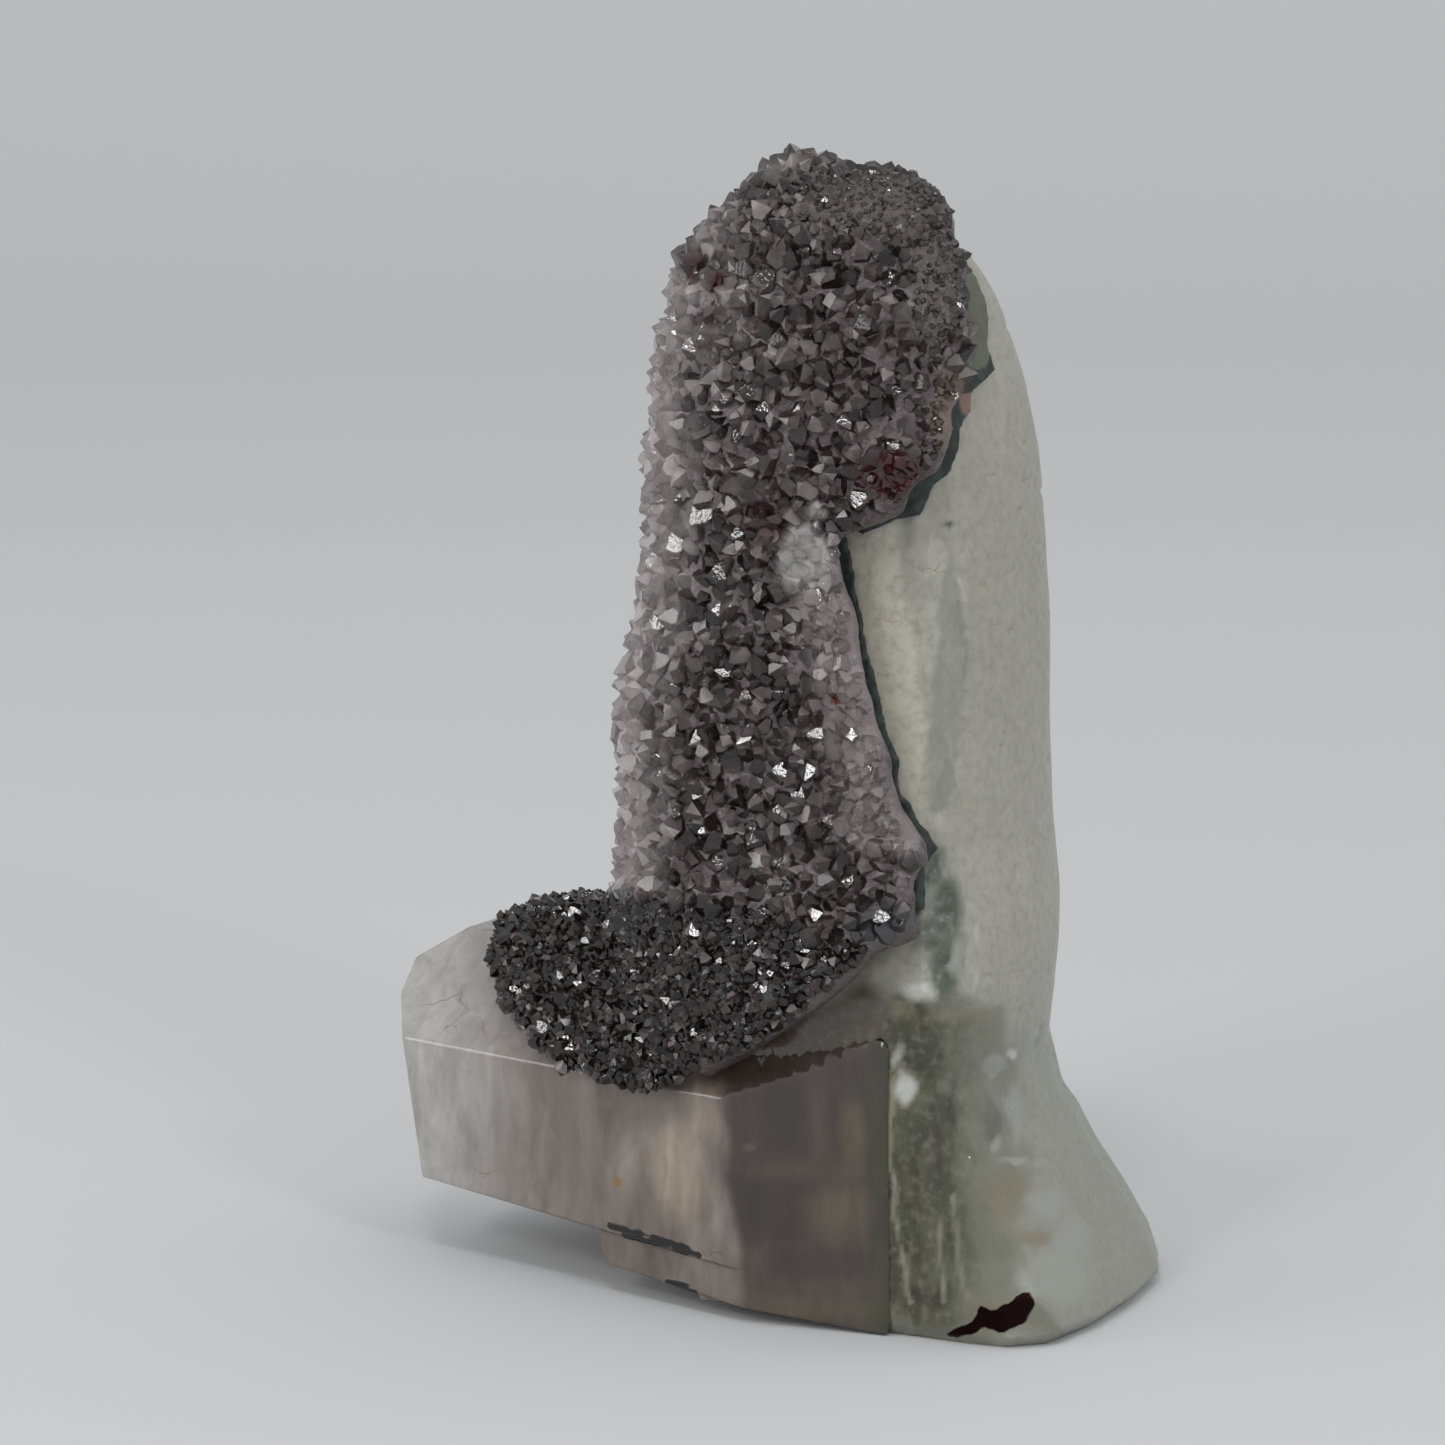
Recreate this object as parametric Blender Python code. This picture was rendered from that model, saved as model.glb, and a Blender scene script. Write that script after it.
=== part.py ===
"""Amethyst druse on calcite, a small cabinet specimen about 93 mm tall.

A tall pale calcite blade stands on a flared foot. A clear calcite prism lies against it, pointing
back and to the left. An amethyst druse coats the blade's left side and top and runs out over the
prism as a dark apron. A thin green rind lies between druse and blade and shows along the broken
edge of the druse.

Frame: metres, +Z up, the druse faces -Y and -X, and the origin is on the table under the middle
of the specimen.
"""

import math
import random

import bmesh
import bpy
from mathutils import Matrix, Vector, noise
from mathutils.bvhtree import BVHTree

MM = 0.001

# Overall layers, in millimetres
FIT_GAP = 0.3
RIND_THICK = 0.8
CRUST_THICK = 3.4
APRON_THICK = 2.2

# The calcite blade by height: z, left, right, front, back, in millimetres. Its left side is under the druse.
BLADE_LEVELS = (
    (0.0, -1.0, 29.4, -19.2, 17.0),
    (1.0, -2.0, 30.6, -20.0, 18.0),
    (3.6, -3.0, 29.8, -19.7, 18.0),
    (7.0, -4.0, 27.9, -18.8, 17.5),
    (11.0, -5.0, 25.4, -18.4, 17.0),
    (13.7, -5.6, 24.1, -17.8, 16.9),
    (15.4, -6.0, 22.8, -17.5, 16.8),
    (20.0, -7.0, 21.5, -16.7, 16.5),
    (27.0, -7.8, 22.3, -15.8, 16.0),
    (32.0, -8.0, 22.5, -14.0, 15.0),
    (38.0, -7.6, 21.8, -12.3, 14.2),
    (46.0, -7.8, 21.5, -11.3, 13.2),
    (54.0, -6.3, 21.2, -10.8, 12.2),
    (62.0, -5.4, 20.8, -10.3, 11.0),
    (68.0, -5.1, 20.4, -9.9, 9.8),
    (74.0, -4.6, 19.0, -9.4, 8.4),
    (80.0, -2.9, 17.0, -8.6, 6.8),
    (83.4, -0.8, 15.0, -7.0, 4.4),
    (85.5, 0.8, 11.6, -5.2, 2.0),
    (86.4, 1.8, 8.2, -3.4, 0.2),
)

# The blade's plan outline, as shares of its half width and half depth: left, front left, front,
# the sharp front ridge, the right edge, back right, back, back left
BLADE_PLAN = (
    (-1.0, 0.08),
    (-0.80, -0.58),
    (-0.21, -0.90),
    (0.44, -1.0),
    (1.0, -0.08),
    (0.84, 0.67),
    (0.0, 1.0),
    (-0.74, 0.75),
)
STEPS_BETWEEN = 3
CRUST_STEPS_BETWEEN = 2
BLADE_ROUGHNESS = 0.35
BLADE_ROUGH_SCALE = 9.0

# The broken right edge of the druse, bottom to top: x, and the height on a plane square to a view
# from 12 degrees above the table
SIGHT_DEGREES = 12.0
DRUSE_EDGE = (
    (-9.0, 16.6),
    (-6.4, 17.4),
    (-1.6, 19.4),
    (1.6, 21.4),
    (5.6, 24.6),
    (7.6, 26.4),
    (10.2, 28.2),
    (10.2, 32.2),
    (11.2, 35.0),
    (9.8, 37.2),
    (8.8, 39.4),
    (8.5, 41.8),
    (7.4, 45.8),
    (6.2, 50.6),
    (5.0, 55.4),
    (3.8, 60.4),
    (5.4, 59.4),
    (7.2, 60.2),
    (9.6, 61.0),
    (10.6, 63.2),
    (12.4, 64.2),
    (13.2, 66.2),
    (13.6, 69.0),
    (14.3, 72.4),
    (13.8, 76.0),
    (14.0, 80.0),
    (13.8, 84.0),
    (13.4, 88.0),
    (13.0, 92.0),
)
# Behind this depth the broken edge runs left as it goes back
EDGE_DEPTH_Y = -6.0
EDGE_RUNS_LEFT = 0.5

# The rind runs past the druse's edge by this much, and much further in one scab near the top
RIND_PAST_EDGE = 0.9
RIND_BOTTOM_H = 30.0
SCAB_H = (71.6, 81.4)
SCAB_REACH = 2.4
FLAT_WITHIN = math.radians(0.2)

# The prism: its axis points back left, and its long faces stand along that axis
PRISM_AXIS = (-0.8, 0.6, 0.0)
PRISM_OUT = (-0.6, -0.8, 0.0)
PRISM_FACE_AT = 13.2
PRISM_WIDTH = 20.0
PRISM_END_AT = 30.6
PRISM_EDGE_Z = 18.2
PRISM_TOP_Z = 27.2
PRISM_FRONT_CORNER = (8.4, -17.3, 0.7)

# The dark apron of the druse on the prism, seen in the same way
APRON_OUTLINE = (
    (-22.9, 27.6),
    (-22.0, 29.2),
    (-18.6, 30.2),
    (-12.0, 31.6),
    (-4.0, 34.0),
    (6.5, 30.0),
    (6.8, 26.4),
    (5.2, 24.2),
    (1.6, 21.0),
    (-2.4, 18.6),
    (-6.6, 17.2),
    (-9.8, 15.9),
    (-12.2, 15.8),
    (-14.6, 16.8),
    (-17.6, 17.8),
    (-19.2, 18.8),
    (-20.6, 21.2),
    (-22.4, 22.8),
    (-23.2, 25.4),
)
APRON_BACK_Y = 11.0

# Quartz points on the druse
CRYSTAL_SEED = 41
PYRAMID_SLOPE = math.tan(math.radians(51.8))
ROOT_SHARE = 0.35
COLUMN_CRYSTAL = (1.2, 1.9)
APRON_CRYSTAL = (0.8, 1.3)
COLUMN_SPACING = 3.3
APRON_SPACING = 2.4
CRYSTAL_TILT = 0.26
MOST_UNEVEN = 0.16
EDGE_CLEAR = 1.2
LOWEST_CRYSTAL_Z = 15.0
OFF_EDGE = 1.7


def clear_scene():
    for obj in list(bpy.data.objects):
        bpy.data.objects.remove(obj, do_unlink=True)


def new_collection(name):
    made = bpy.data.collections.new(name)
    bpy.context.scene.collection.children.link(made)
    return made


def material(name, colour, roughness, transmission=0.0):
    made = bpy.data.materials.new(name)
    made.use_nodes = True
    shader = made.node_tree.nodes["Principled BSDF"]
    shader.inputs["Base Color"].default_value = (*colour, 1.0)
    shader.inputs["Roughness"].default_value = roughness
    shader.inputs["Metallic"].default_value = 0.0
    shader.inputs["Transmission Weight"].default_value = transmission
    return made


def mesh_object(name, bm, collection):
    bmesh.ops.recalc_face_normals(bm, faces=bm.faces)
    mesh = bpy.data.meshes.new(name)
    bm.to_mesh(mesh)
    bm.free()
    obj = bpy.data.objects.new(name, mesh)
    collection.objects.link(obj)
    return obj


def closed_volume(mesh):
    """The volume that the mesh encloses, or zero where it has a hole."""
    bm = bmesh.new()
    bm.from_mesh(mesh)
    closed = all(edge.is_manifold for edge in bm.edges)
    volume = bm.calc_volume() if closed else 0.0
    bm.free()
    return volume


def boolean(obj, other, operation):
    """Runs one Boolean on obj and keeps its result. Where EXACT loses the solid, MANIFOLD takes its place."""
    least = closed_volume(obj.data) if operation == "UNION" else 0.0
    modifier = obj.modifiers.new(operation.title(), "BOOLEAN")
    modifier.operation = operation
    modifier.object = other
    for solver in ("EXACT", "MANIFOLD"):
        modifier.solver = solver
        bpy.context.view_layer.update()
        graph = bpy.context.evaluated_depsgraph_get()
        result = bpy.data.meshes.new_from_object(obj.evaluated_get(graph))
        if closed_volume(result) > least:
            break
    else:
        raise RuntimeError(f"{operation} of {obj.name} and {other.name} leaves no closed solid")
    obj.modifiers.clear()
    obj.data = result
    return obj


def remove(obj):
    bpy.data.objects.remove(obj, do_unlink=True)


def merge_flat_faces(obj):
    """Merges the small faces that the Booleans left in one plane, as far as the solid stays closed."""
    for angle in (FLAT_WITHIN, FLAT_WITHIN / 10):
        bm = bmesh.new()
        bm.from_mesh(obj.data)
        bmesh.ops.dissolve_limit(bm, angle_limit=angle, verts=bm.verts, edges=bm.edges)
        bmesh.ops.triangulate(bm, faces=bm.faces)
        merged = bpy.data.meshes.new(obj.name)
        bm.to_mesh(merged)
        bm.free()
        if closed_volume(merged) > 0:
            obj.data = merged
            break


def drop_chips(obj):
    """Drops the loose chips that the Booleans left beside the main body."""
    bm = bmesh.new()
    bm.from_mesh(obj.data)
    left = set(bm.verts)
    islands = []
    while left:
        island = {left.pop()}
        edge = list(island)
        while edge:
            vert = edge.pop()
            for other in (e.other_vert(vert) for e in vert.link_edges):
                if other in left:
                    left.discard(other)
                    island.add(other)
                    edge.append(other)
        islands.append(island)
    islands.sort(key=len)
    bmesh.ops.delete(bm, geom=[v for island in islands[:-1] for v in island], context="VERTS")
    bm.to_mesh(obj.data)
    bm.free()


def smooth_loop(points, steps):
    """A closed Catmull-Rom curve through plan points."""
    loop = []
    count = len(points)
    for i in range(count):
        before, start, end, after = (Vector(points[(i + k) % count]) for k in (-1, 0, 1, 2))
        for step in range(steps):
            t = step / steps
            along = (end - before) * 0.5 * (t - 2 * t**2 + t**3)
            across = (after - start) * 0.5 * (t**3 - t**2)
            blend = start * (1 - 3 * t**2 + 2 * t**3) + end * (3 * t**2 - 2 * t**3)
            loop.append(blend + along + across)
    return loop


def blade_ring(left, right, front, back, steps):
    centre = Vector(((left + right) / 2, (front + back) / 2))
    half = Vector(((right - left) / 2, (back - front) / 2))
    corners = [centre + Vector((half.x * u, half.y * v)) for u, v in BLADE_PLAN]
    return smooth_loop(corners, steps)


def blade_body(name, collection, grow=0.0, steps=STEPS_BETWEEN):
    """The whole lofted blade, every wall moved out by grow millimetres."""
    bm = bmesh.new()
    rings = []
    for z, left, right, front, back in BLADE_LEVELS:
        ring = []
        for x, y in blade_ring(left, right, front, back, steps):
            rough = noise.noise(Vector((x, y, z)) / BLADE_ROUGH_SCALE) * BLADE_ROUGHNESS
            share = 0.0 if z <= 0 else rough
            outward = Vector((x - (left + right) / 2, y - (front + back) / 2)).normalized()
            ring.append(bm.verts.new(Vector((x + outward.x * share, y + outward.y * share, z)) * MM))
        rings.append(ring)
    count = len(rings[0])
    for low, high in zip(rings, rings[1:]):
        for i in range(count):
            j = (i + 1) % count
            bm.faces.new((low[i], low[j], high[j], high[i]))
    bm.faces.new(list(reversed(rings[0])))
    bm.faces.new(rings[-1])
    bmesh.ops.recalc_face_normals(bm, faces=bm.faces)
    bm.normal_update()
    for vert in [v for v in bm.verts if grow]:
        vert.co += vert.normal * grow * MM
    bmesh.ops.triangulate(bm, faces=[f for f in bm.faces if len(f.verts) > 4])
    return mesh_object(name, bm, collection)


def cut_crystal(name, collection, planes, grow=0.0):
    """A convex crystal: a cube cut back by planes, each a point in mm and an outward normal."""
    bm = bmesh.new()
    bmesh.ops.create_cube(bm, size=200 * MM)
    for point, normal in planes:
        outward = Vector(normal).normalized()
        cut = bmesh.ops.bisect_plane(
            bm,
            geom=bm.verts[:] + bm.edges[:] + bm.faces[:],
            plane_co=(Vector(point) + outward * grow) * MM,
            plane_no=outward,
            clear_outer=True,
        )
        rim = [e for e in cut["geom_cut"] if isinstance(e, bmesh.types.BMEdge)]
        if rim:
            bmesh.ops.edgeloop_fill(bm, edges=rim)
    return mesh_object(name, bm, collection)


def prism_planes():
    """The faces that the prism's three stacked blocks share, by name."""
    axis = Vector(PRISM_AXIS)
    out = Vector(PRISM_OUT)
    front = out * PRISM_FACE_AT
    edge = front + Vector((0, 0, PRISM_EDGE_Z))
    end = axis * PRISM_END_AT
    return {
        "long_face": (front, out),
        "long_bevel": (edge, out + Vector((0, 0, 0.95))),
        "back_face": (out * (PRISM_FACE_AT - PRISM_WIDTH), -out),
        "back_bevel": (out * (PRISM_FACE_AT - PRISM_WIDTH) + Vector((0, 0, 23.0)), Vector((0, 0, 0.8)) - out),
        "end_face": (end + Vector((0, 0, 18.2)), axis + Vector((0, 0, -0.12))),
        "end_bevel": (end + Vector((0, 0, 24.0)), axis + Vector((0, 0, 1.4))),
        "end_corner": (Vector((-30.8, 6.3, 18.2)), Vector((-1, 0.05, -0.144))),
        "end_back": (Vector((-19.0, 22.7, 18.2)), Vector((-0.28, 0.96, -0.12))),
        "end_foot": (end + Vector((0, 0, 9.4)) - axis * 0.8, axis + Vector((0, 0, -0.75))),
        "top": (Vector((0, 0, PRISM_TOP_Z)), Vector((-0.04, 0, 1))),
        "front_face": (Vector(PRISM_FRONT_CORNER), Vector((-0.28, -0.96, 0.03))),
        "inner_end": (Vector(PRISM_FRONT_CORNER), Vector((0.96, 0.28, 0))),
        "underside": (Vector((-14.0, -3.0, 5.4)), Vector((-0.07, 0.02, -1))),
        "ledge_end": (Vector((-13.1, -3.8, 2.9)), axis + Vector((0, 0, -0.1))),
        "ledge_corner": (Vector((-12.4, -3.8, 2.9)), axis + Vector((0, 0, -0.9))),
        "ledge_underside": (Vector((-13.0, -3.4, 2.5)), Vector((-0.10, 0.02, -1))),
        "sole_end": (Vector((-3.6, -7.2, 0.5)), axis),
        "sole_front": (Vector((-3.6, -13.8, 1.7)), Vector((-0.2, -0.8, -3.2))),
        "table": (Vector((0, 0, 0)), Vector((0, 0, -1))),
    }


def prism_body(name, collection, grow=0.0, to_table=False):
    """The prism: the main crystal, a cleaved ledge under it, and the sole that meets the table.

    With to_table the sole's front goes straight down, to cut the room that the prism stands in.
    """
    planes = prism_planes()
    sides = ("front_face", "inner_end", "back_face")
    blocks = (
        sides + ("long_face", "long_bevel", "back_bevel", "end_face", "end_bevel", "end_corner",
                 "end_back", "end_foot", "top", "underside"),
        sides + ("long_face", "ledge_end", "ledge_corner", "ledge_underside"),
        sides + ("long_face", "sole_end", "table" if to_table else "sole_front", "table"),
    )
    tops = (40.0, 12.0, 6.5)
    insets = (0.0, 0.25, 0.5)
    made = None
    for block, top, inset in zip(blocks, tops, insets):
        wanted = [
            (point - normal.normalized() * (inset if n == "long_face" else 0), normal)
            for n, (point, normal) in ((n, planes[n]) for n in block)
        ]
        wanted.append((Vector((0, 0, top)), Vector((0, 0, 1))))
        piece = cut_crystal(name if made is None else "block", collection, wanted, grow)
        if made is None:
            made = piece
        else:
            boolean(made, piece, "UNION")
            remove(piece)
    return made


def lean_back(side):
    """Leans an outline solid so that, behind the front, its edge runs left as it goes back."""
    bm = bmesh.new()
    bm.from_mesh(side.data)
    bmesh.ops.bisect_plane(
        bm,
        geom=bm.verts[:] + bm.edges[:] + bm.faces[:],
        plane_co=(0, EDGE_DEPTH_Y * MM, 0),
        plane_no=(0, 1, 0),
    )
    for vert in bm.verts:
        vert.co.x -= EDGE_RUNS_LEFT * max(vert.co.y - EDGE_DEPTH_Y * MM, 0)
    bm.to_mesh(side.data)
    bm.free()


def outline_solid(name, collection, points, half_depth, tilt_degrees=0.0):
    """A flat outline in x and z, extruded front to back, or along a line of sight tilted down."""
    curve = bpy.data.curves.new(name, "CURVE")
    curve.dimensions = "2D"
    curve.fill_mode = "BOTH"
    curve.extrude = half_depth * MM
    spline = curve.splines.new("POLY")
    spline.points.add(len(points) - 1)
    for spot, (x, z) in zip(spline.points, points):
        spot.co = (x * MM, z * MM, 0, 1)
    spline.use_cyclic_u = True
    flat = bpy.data.objects.new(name, curve)
    collection.objects.link(flat)
    bpy.context.view_layer.update()
    graph = bpy.context.evaluated_depsgraph_get()
    mesh = bpy.data.meshes.new_from_object(flat.evaluated_get(graph))
    remove(flat)
    bm = bmesh.new()
    bm.from_mesh(mesh)
    bpy.data.meshes.remove(mesh)
    bmesh.ops.remove_doubles(bm, verts=bm.verts, dist=1e-6)
    upright = Matrix.Rotation(math.radians(90 - tilt_degrees), 4, "X")
    bmesh.ops.transform(bm, matrix=upright, verts=bm.verts)
    return mesh_object(name, bm, collection)


def druse_side(past_edge, jag, seed, bottom):
    """The druse's side of its broken edge, as an outline that takes in the whole left."""
    rng = random.Random(seed)
    edge = []
    for low, high in zip(DRUSE_EDGE, DRUSE_EDGE[1:]):
        for share in (0.0, 0.5):
            x = low[0] + (high[0] - low[0]) * share
            h = low[1] + (high[1] - low[1]) * share
            reach = past_edge
            if past_edge and SCAB_H[0] < h < SCAB_H[1]:
                reach = SCAB_REACH
            edge.append((x + reach + rng.uniform(-jag, jag), h))
    edge.append((DRUSE_EDGE[-1][0] + past_edge, 110.0))
    kept = [spot for spot in edge if spot[1] >= bottom]
    return [(-45.0, kept[0][1]), *kept, (-45.0, 110.0)]


def quartz_point(bm, place, outward, radius, spin, uneven):
    """One quartz point: a six sided pyramid whose faces alternate wide and narrow, rooted in the crust."""
    steep = math.cos(math.pi / 6) * PYRAMID_SLOPE
    root = radius * ROOT_SHARE
    height = radius * steep + root
    turn = outward.to_track_quat("Z", "Y").to_matrix().to_4x4()
    frame = Matrix.Translation(place + outward * (height / 2 - root)) @ turn @ Matrix.Rotation(spin, 4, "Z")
    made = bmesh.ops.create_cone(
        bm,
        cap_ends=True,
        segments=6,
        radius1=height / steep,
        radius2=0.0,
        depth=height,
        matrix=frame,
    )
    back = frame.inverted()
    for vert in made["verts"]:
        local = back @ vert.co
        side = round(math.atan2(local.x, local.y) / (math.pi / 3))
        turned = uneven if side % 2 else -uneven
        vert.co = frame @ (Matrix.Rotation(turned, 4, "Z") @ local)


def surface_spots(obj, spacing, keep, rng):
    """Places spread over obj's faces, no two nearer than spacing, that keep() accepts."""
    mesh = obj.data
    mesh.calc_loop_triangles()
    triangles = [t for t in mesh.loop_triangles]
    areas = [t.area for t in triangles]
    tries = int(sum(areas) / (spacing * MM) ** 2 * 14)
    spots = []
    cell = spacing * MM
    grid = {}
    for triangle in rng.choices(triangles, weights=areas, k=tries):
        a, b, c = (mesh.vertices[i].co for i in triangle.vertices)
        u, v = rng.random(), rng.random()
        if u + v > 1:
            u, v = 1 - u, 1 - v
        place = a + (b - a) * u + (c - a) * v
        if not keep(place):
            continue
        key = tuple(int(math.floor(x / cell)) for x in place)
        near = (
            other
            for dx in (-1, 0, 1)
            for dy in (-1, 0, 1)
            for dz in (-1, 0, 1)
            for other in grid.get((key[0] + dx, key[1] + dy, key[2] + dz), ())
        )
        if any((other - place).length < cell for other in near):
            continue
        grid.setdefault(key, []).append(place)
        spots.append((place, triangle.normal.copy()))
    return spots


def grow_crystals(obj, collection, spots, sizes, rng):
    """Fuses a quartz point to obj at each spot, in groups whose points don't touch each other."""
    groups = []
    for place, normal in spots:
        radius = rng.uniform(*sizes) * MM
        tilt = Vector([rng.gauss(0, CRYSTAL_TILT) for _ in range(3)])
        outward = (normal + tilt).normalized()
        reach = radius * 1.4
        for group in groups:
            if all((place - other).length > reach + far for other, far, _ in group):
                break
        else:
            group = []
            groups.append(group)
        group.append((place, reach, (outward, radius, rng.uniform(0, math.tau), rng.uniform(0, MOST_UNEVEN))))
    for group in groups:
        bm = bmesh.new()
        for place, _, (outward, radius, spin, uneven) in group:
            quartz_point(bm, place, outward, radius, spin, uneven)
        points = mesh_object("points", bm, collection)
        boolean(obj, points, "UNION")
        remove(points)
    return obj


def druse_body(name, collection, cutters):
    """The druse: crust on the blade, apron on the prism, and quartz points fused over both."""
    rng = random.Random(CRYSTAL_SEED)
    crust = blade_body(name, collection, RIND_THICK + FIT_GAP * 2 + CRUST_THICK, CRUST_STEPS_BETWEEN)
    side = outline_solid("druse_side", cutters, druse_side(0.0, 0.35, 7, 0.0), 60, SIGHT_DEGREES)
    lean_back(side)
    boolean(crust, side, "INTERSECT")
    apron = prism_body("apron", collection, APRON_THICK)
    shape = outline_solid("apron_shape", cutters, APRON_OUTLINE, 60, SIGHT_DEGREES)
    boolean(apron, shape, "INTERSECT")
    behind = cut_crystal(
        "behind", cutters, [(Vector((0, APRON_BACK_Y, 0)), Vector((0.25, 1, 0)))]
    )
    boolean(apron, behind, "INTERSECT")
    boolean(crust, apron, "UNION")

    blade = blade_body("blade_room", cutters, RIND_THICK + FIT_GAP * 2)
    prism = prism_body("prism_room", cutters, FIT_GAP)
    graph = bpy.context.evaluated_depsgraph_get()
    walls = [BVHTree.FromObject(o, graph) for o in (blade, prism)]
    edge_wall = BVHTree.FromObject(side, graph)

    def clear_of(tree, place):
        nearest, normal, _, _ = tree.find_nearest(place)
        return (place - nearest).dot(normal) / MM

    def on_apron(place):
        return clear_of(walls[1], place) < APRON_THICK + 0.4 and clear_of(walls[0], place) > EDGE_CLEAR

    def open_to_air(place):
        return min(clear_of(tree, place) for tree in walls) > EDGE_CLEAR and place.z > LOWEST_CRYSTAL_Z * MM

    def on_column(place):
        return not on_apron(place) and open_to_air(place) and clear_of(edge_wall, place) < -OFF_EDGE

    def on_foot(place):
        return on_apron(place) and open_to_air(place)

    column = surface_spots(crust, COLUMN_SPACING, on_column, rng)
    foot = surface_spots(crust, APRON_SPACING, on_foot, rng)
    grow_crystals(crust, collection, column, COLUMN_CRYSTAL, rng)
    grow_crystals(crust, collection, foot, APRON_CRYSTAL, rng)
    boolean(crust, blade, "DIFFERENCE")
    boolean(crust, prism, "DIFFERENCE")
    drop_chips(crust)
    merge_flat_faces(crust)
    for used in (side, apron, shape, behind, blade, prism):
        remove(used)
    return crust


def rind_body(name, collection, cutters):
    """The thin green layer on the blade, which the druse covers all but its edge."""
    rind = blade_body(name, collection, FIT_GAP + RIND_THICK)
    outline = druse_side(RIND_PAST_EDGE, 0.4, 11, RIND_BOTTOM_H)
    side = outline_solid("rind_side", cutters, outline, 60, SIGHT_DEGREES)
    lean_back(side)
    boolean(rind, side, "INTERSECT")
    blade = blade_body("blade_room", cutters, FIT_GAP)
    boolean(rind, blade, "DIFFERENCE")
    drop_chips(rind)
    merge_flat_faces(rind)
    remove(side)
    remove(blade)
    return rind


def stand_on_origin(parts):
    """Hangs the parts on an empty that puts the middle of the whole, at table height, on the origin."""
    corners = [vert.co for obj in parts for vert in obj.data.vertices]
    low = Vector([min(c[i] for c in corners) for i in range(3)])
    high = Vector([max(c[i] for c in corners) for i in range(3)])
    specimen = bpy.data.objects.new("specimen", None)
    bpy.context.scene.collection.objects.link(specimen)
    specimen.location = (-(low.x + high.x) / 2, -(low.y + high.y) / 2, -low.z)
    for obj in parts:
        obj.parent = specimen
    return specimen


def build():
    clear_scene()
    parts = new_collection("amethyst_druse_on_calcite")
    cutters = new_collection("cutters")
    prism = prism_body("calcite_prism", parts)
    blade = blade_body("calcite_blade", parts)
    prism_room = prism_body("prism_room", cutters, FIT_GAP, to_table=True)
    boolean(blade, prism_room, "DIFFERENCE")
    remove(prism_room)
    drop_chips(blade)
    merge_flat_faces(blade)
    rind = rind_body("celadonite_rind", parts, cutters)
    druse = druse_body("amethyst_druse", parts, cutters)
    finishes = (
        (prism, material("calcite_clear_grey", (0.36, 0.30, 0.26), 0.18, 0.5)),
        (blade, material("calcite_pale_green", (0.52, 0.54, 0.46), 0.45, 0.3)),
        (rind, material("celadonite_dark_green", (0.010, 0.045, 0.034), 0.6)),
        (druse, material("amethyst_smoky", (0.13, 0.085, 0.095), 0.12, 0.3)),
    )
    for obj, finish in finishes:
        obj.data.materials.clear()
        obj.data.materials.append(finish)
    stand_on_origin([obj for obj, _ in finishes])


if __name__ == "__main__":
    build()
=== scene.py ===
"""Looks for the amethyst druse on calcite: quartz points, green rind, calcite blade and prism, and a stage."""

import math
import random

import bmesh
import bpy
import numpy as np
from mathutils import Matrix, Vector, noise
from mathutils.bvhtree import BVHTree
from mathutils.kdtree import KDTree


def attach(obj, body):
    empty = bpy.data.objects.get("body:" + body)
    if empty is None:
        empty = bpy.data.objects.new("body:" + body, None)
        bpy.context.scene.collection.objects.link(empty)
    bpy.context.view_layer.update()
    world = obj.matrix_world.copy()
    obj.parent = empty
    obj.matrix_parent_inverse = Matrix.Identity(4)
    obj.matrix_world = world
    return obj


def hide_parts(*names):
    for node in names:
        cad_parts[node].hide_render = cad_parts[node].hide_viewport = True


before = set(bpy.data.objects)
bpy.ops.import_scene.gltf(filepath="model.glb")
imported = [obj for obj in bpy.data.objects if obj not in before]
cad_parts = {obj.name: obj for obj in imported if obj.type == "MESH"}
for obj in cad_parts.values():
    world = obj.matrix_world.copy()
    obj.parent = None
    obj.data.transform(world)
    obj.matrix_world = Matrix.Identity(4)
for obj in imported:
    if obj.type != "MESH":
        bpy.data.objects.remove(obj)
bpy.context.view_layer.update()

bl_info = {
    "name": "Amethyst Druse Specimen",
    "version": (1, 0, 0),
    "blender": (4, 5, 0),
    "location": "3D View > Sidebar > Specimen",
    "description": "Builds the surface detail, the materials and the stage of a mineral specimen",
    "category": "Object",
}

MM = 0.001

# The layers over the calcite, in millimetres: the druse's cloudy crust, and the points that stand on it
CRUST_FACE = 4.9
APRON_FACE = 2.1
POINT_ROOT = 0.6
SHAPE_COUNT = 9
FACE_LEAN = math.radians(51.8)

# Places on the front are given as seen along a sight line 12 degrees down along +Y: x to the right, and h
# upwards on a plane square to it, both in millimetres from this place on the table
SIGHT_DEGREES = 12.0
SIGHT_UP = Vector((0.0, math.sin(math.radians(SIGHT_DEGREES)), math.cos(math.radians(SIGHT_DEGREES))))
SIGHT_BACK = Vector((0.0, -math.cos(math.radians(SIGHT_DEGREES)), math.sin(math.radians(SIGHT_DEGREES))))
SIGHT_FROM = Vector((-0.01, -1.04, 0.0)) * MM

# Lamps: name, place in metres, width in metres
LAMPS = (
    ("overhead", Vector((0.28, 0.20, 0.78)), 0.90),
    ("window", Vector((-0.35, -0.45, 0.42)), 0.12),
    ("side", Vector((0.32, -0.52, 0.40)), 0.09),
    ("high", Vector((-0.08, -0.36, 0.66)), 0.09),
    ("low", Vector((-0.55, -0.16, 0.18)), 0.24),
)


def linear(hex_value):
    """An sRGB hex colour as linear RGBA."""
    parts = [int(hex_value[i : i + 2], 16) / 255 for i in (1, 3, 5)]
    return (*[c / 12.92 if c <= 0.04045 else ((c + 0.055) / 1.055) ** 2.4 for c in parts], 1.0)


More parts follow.
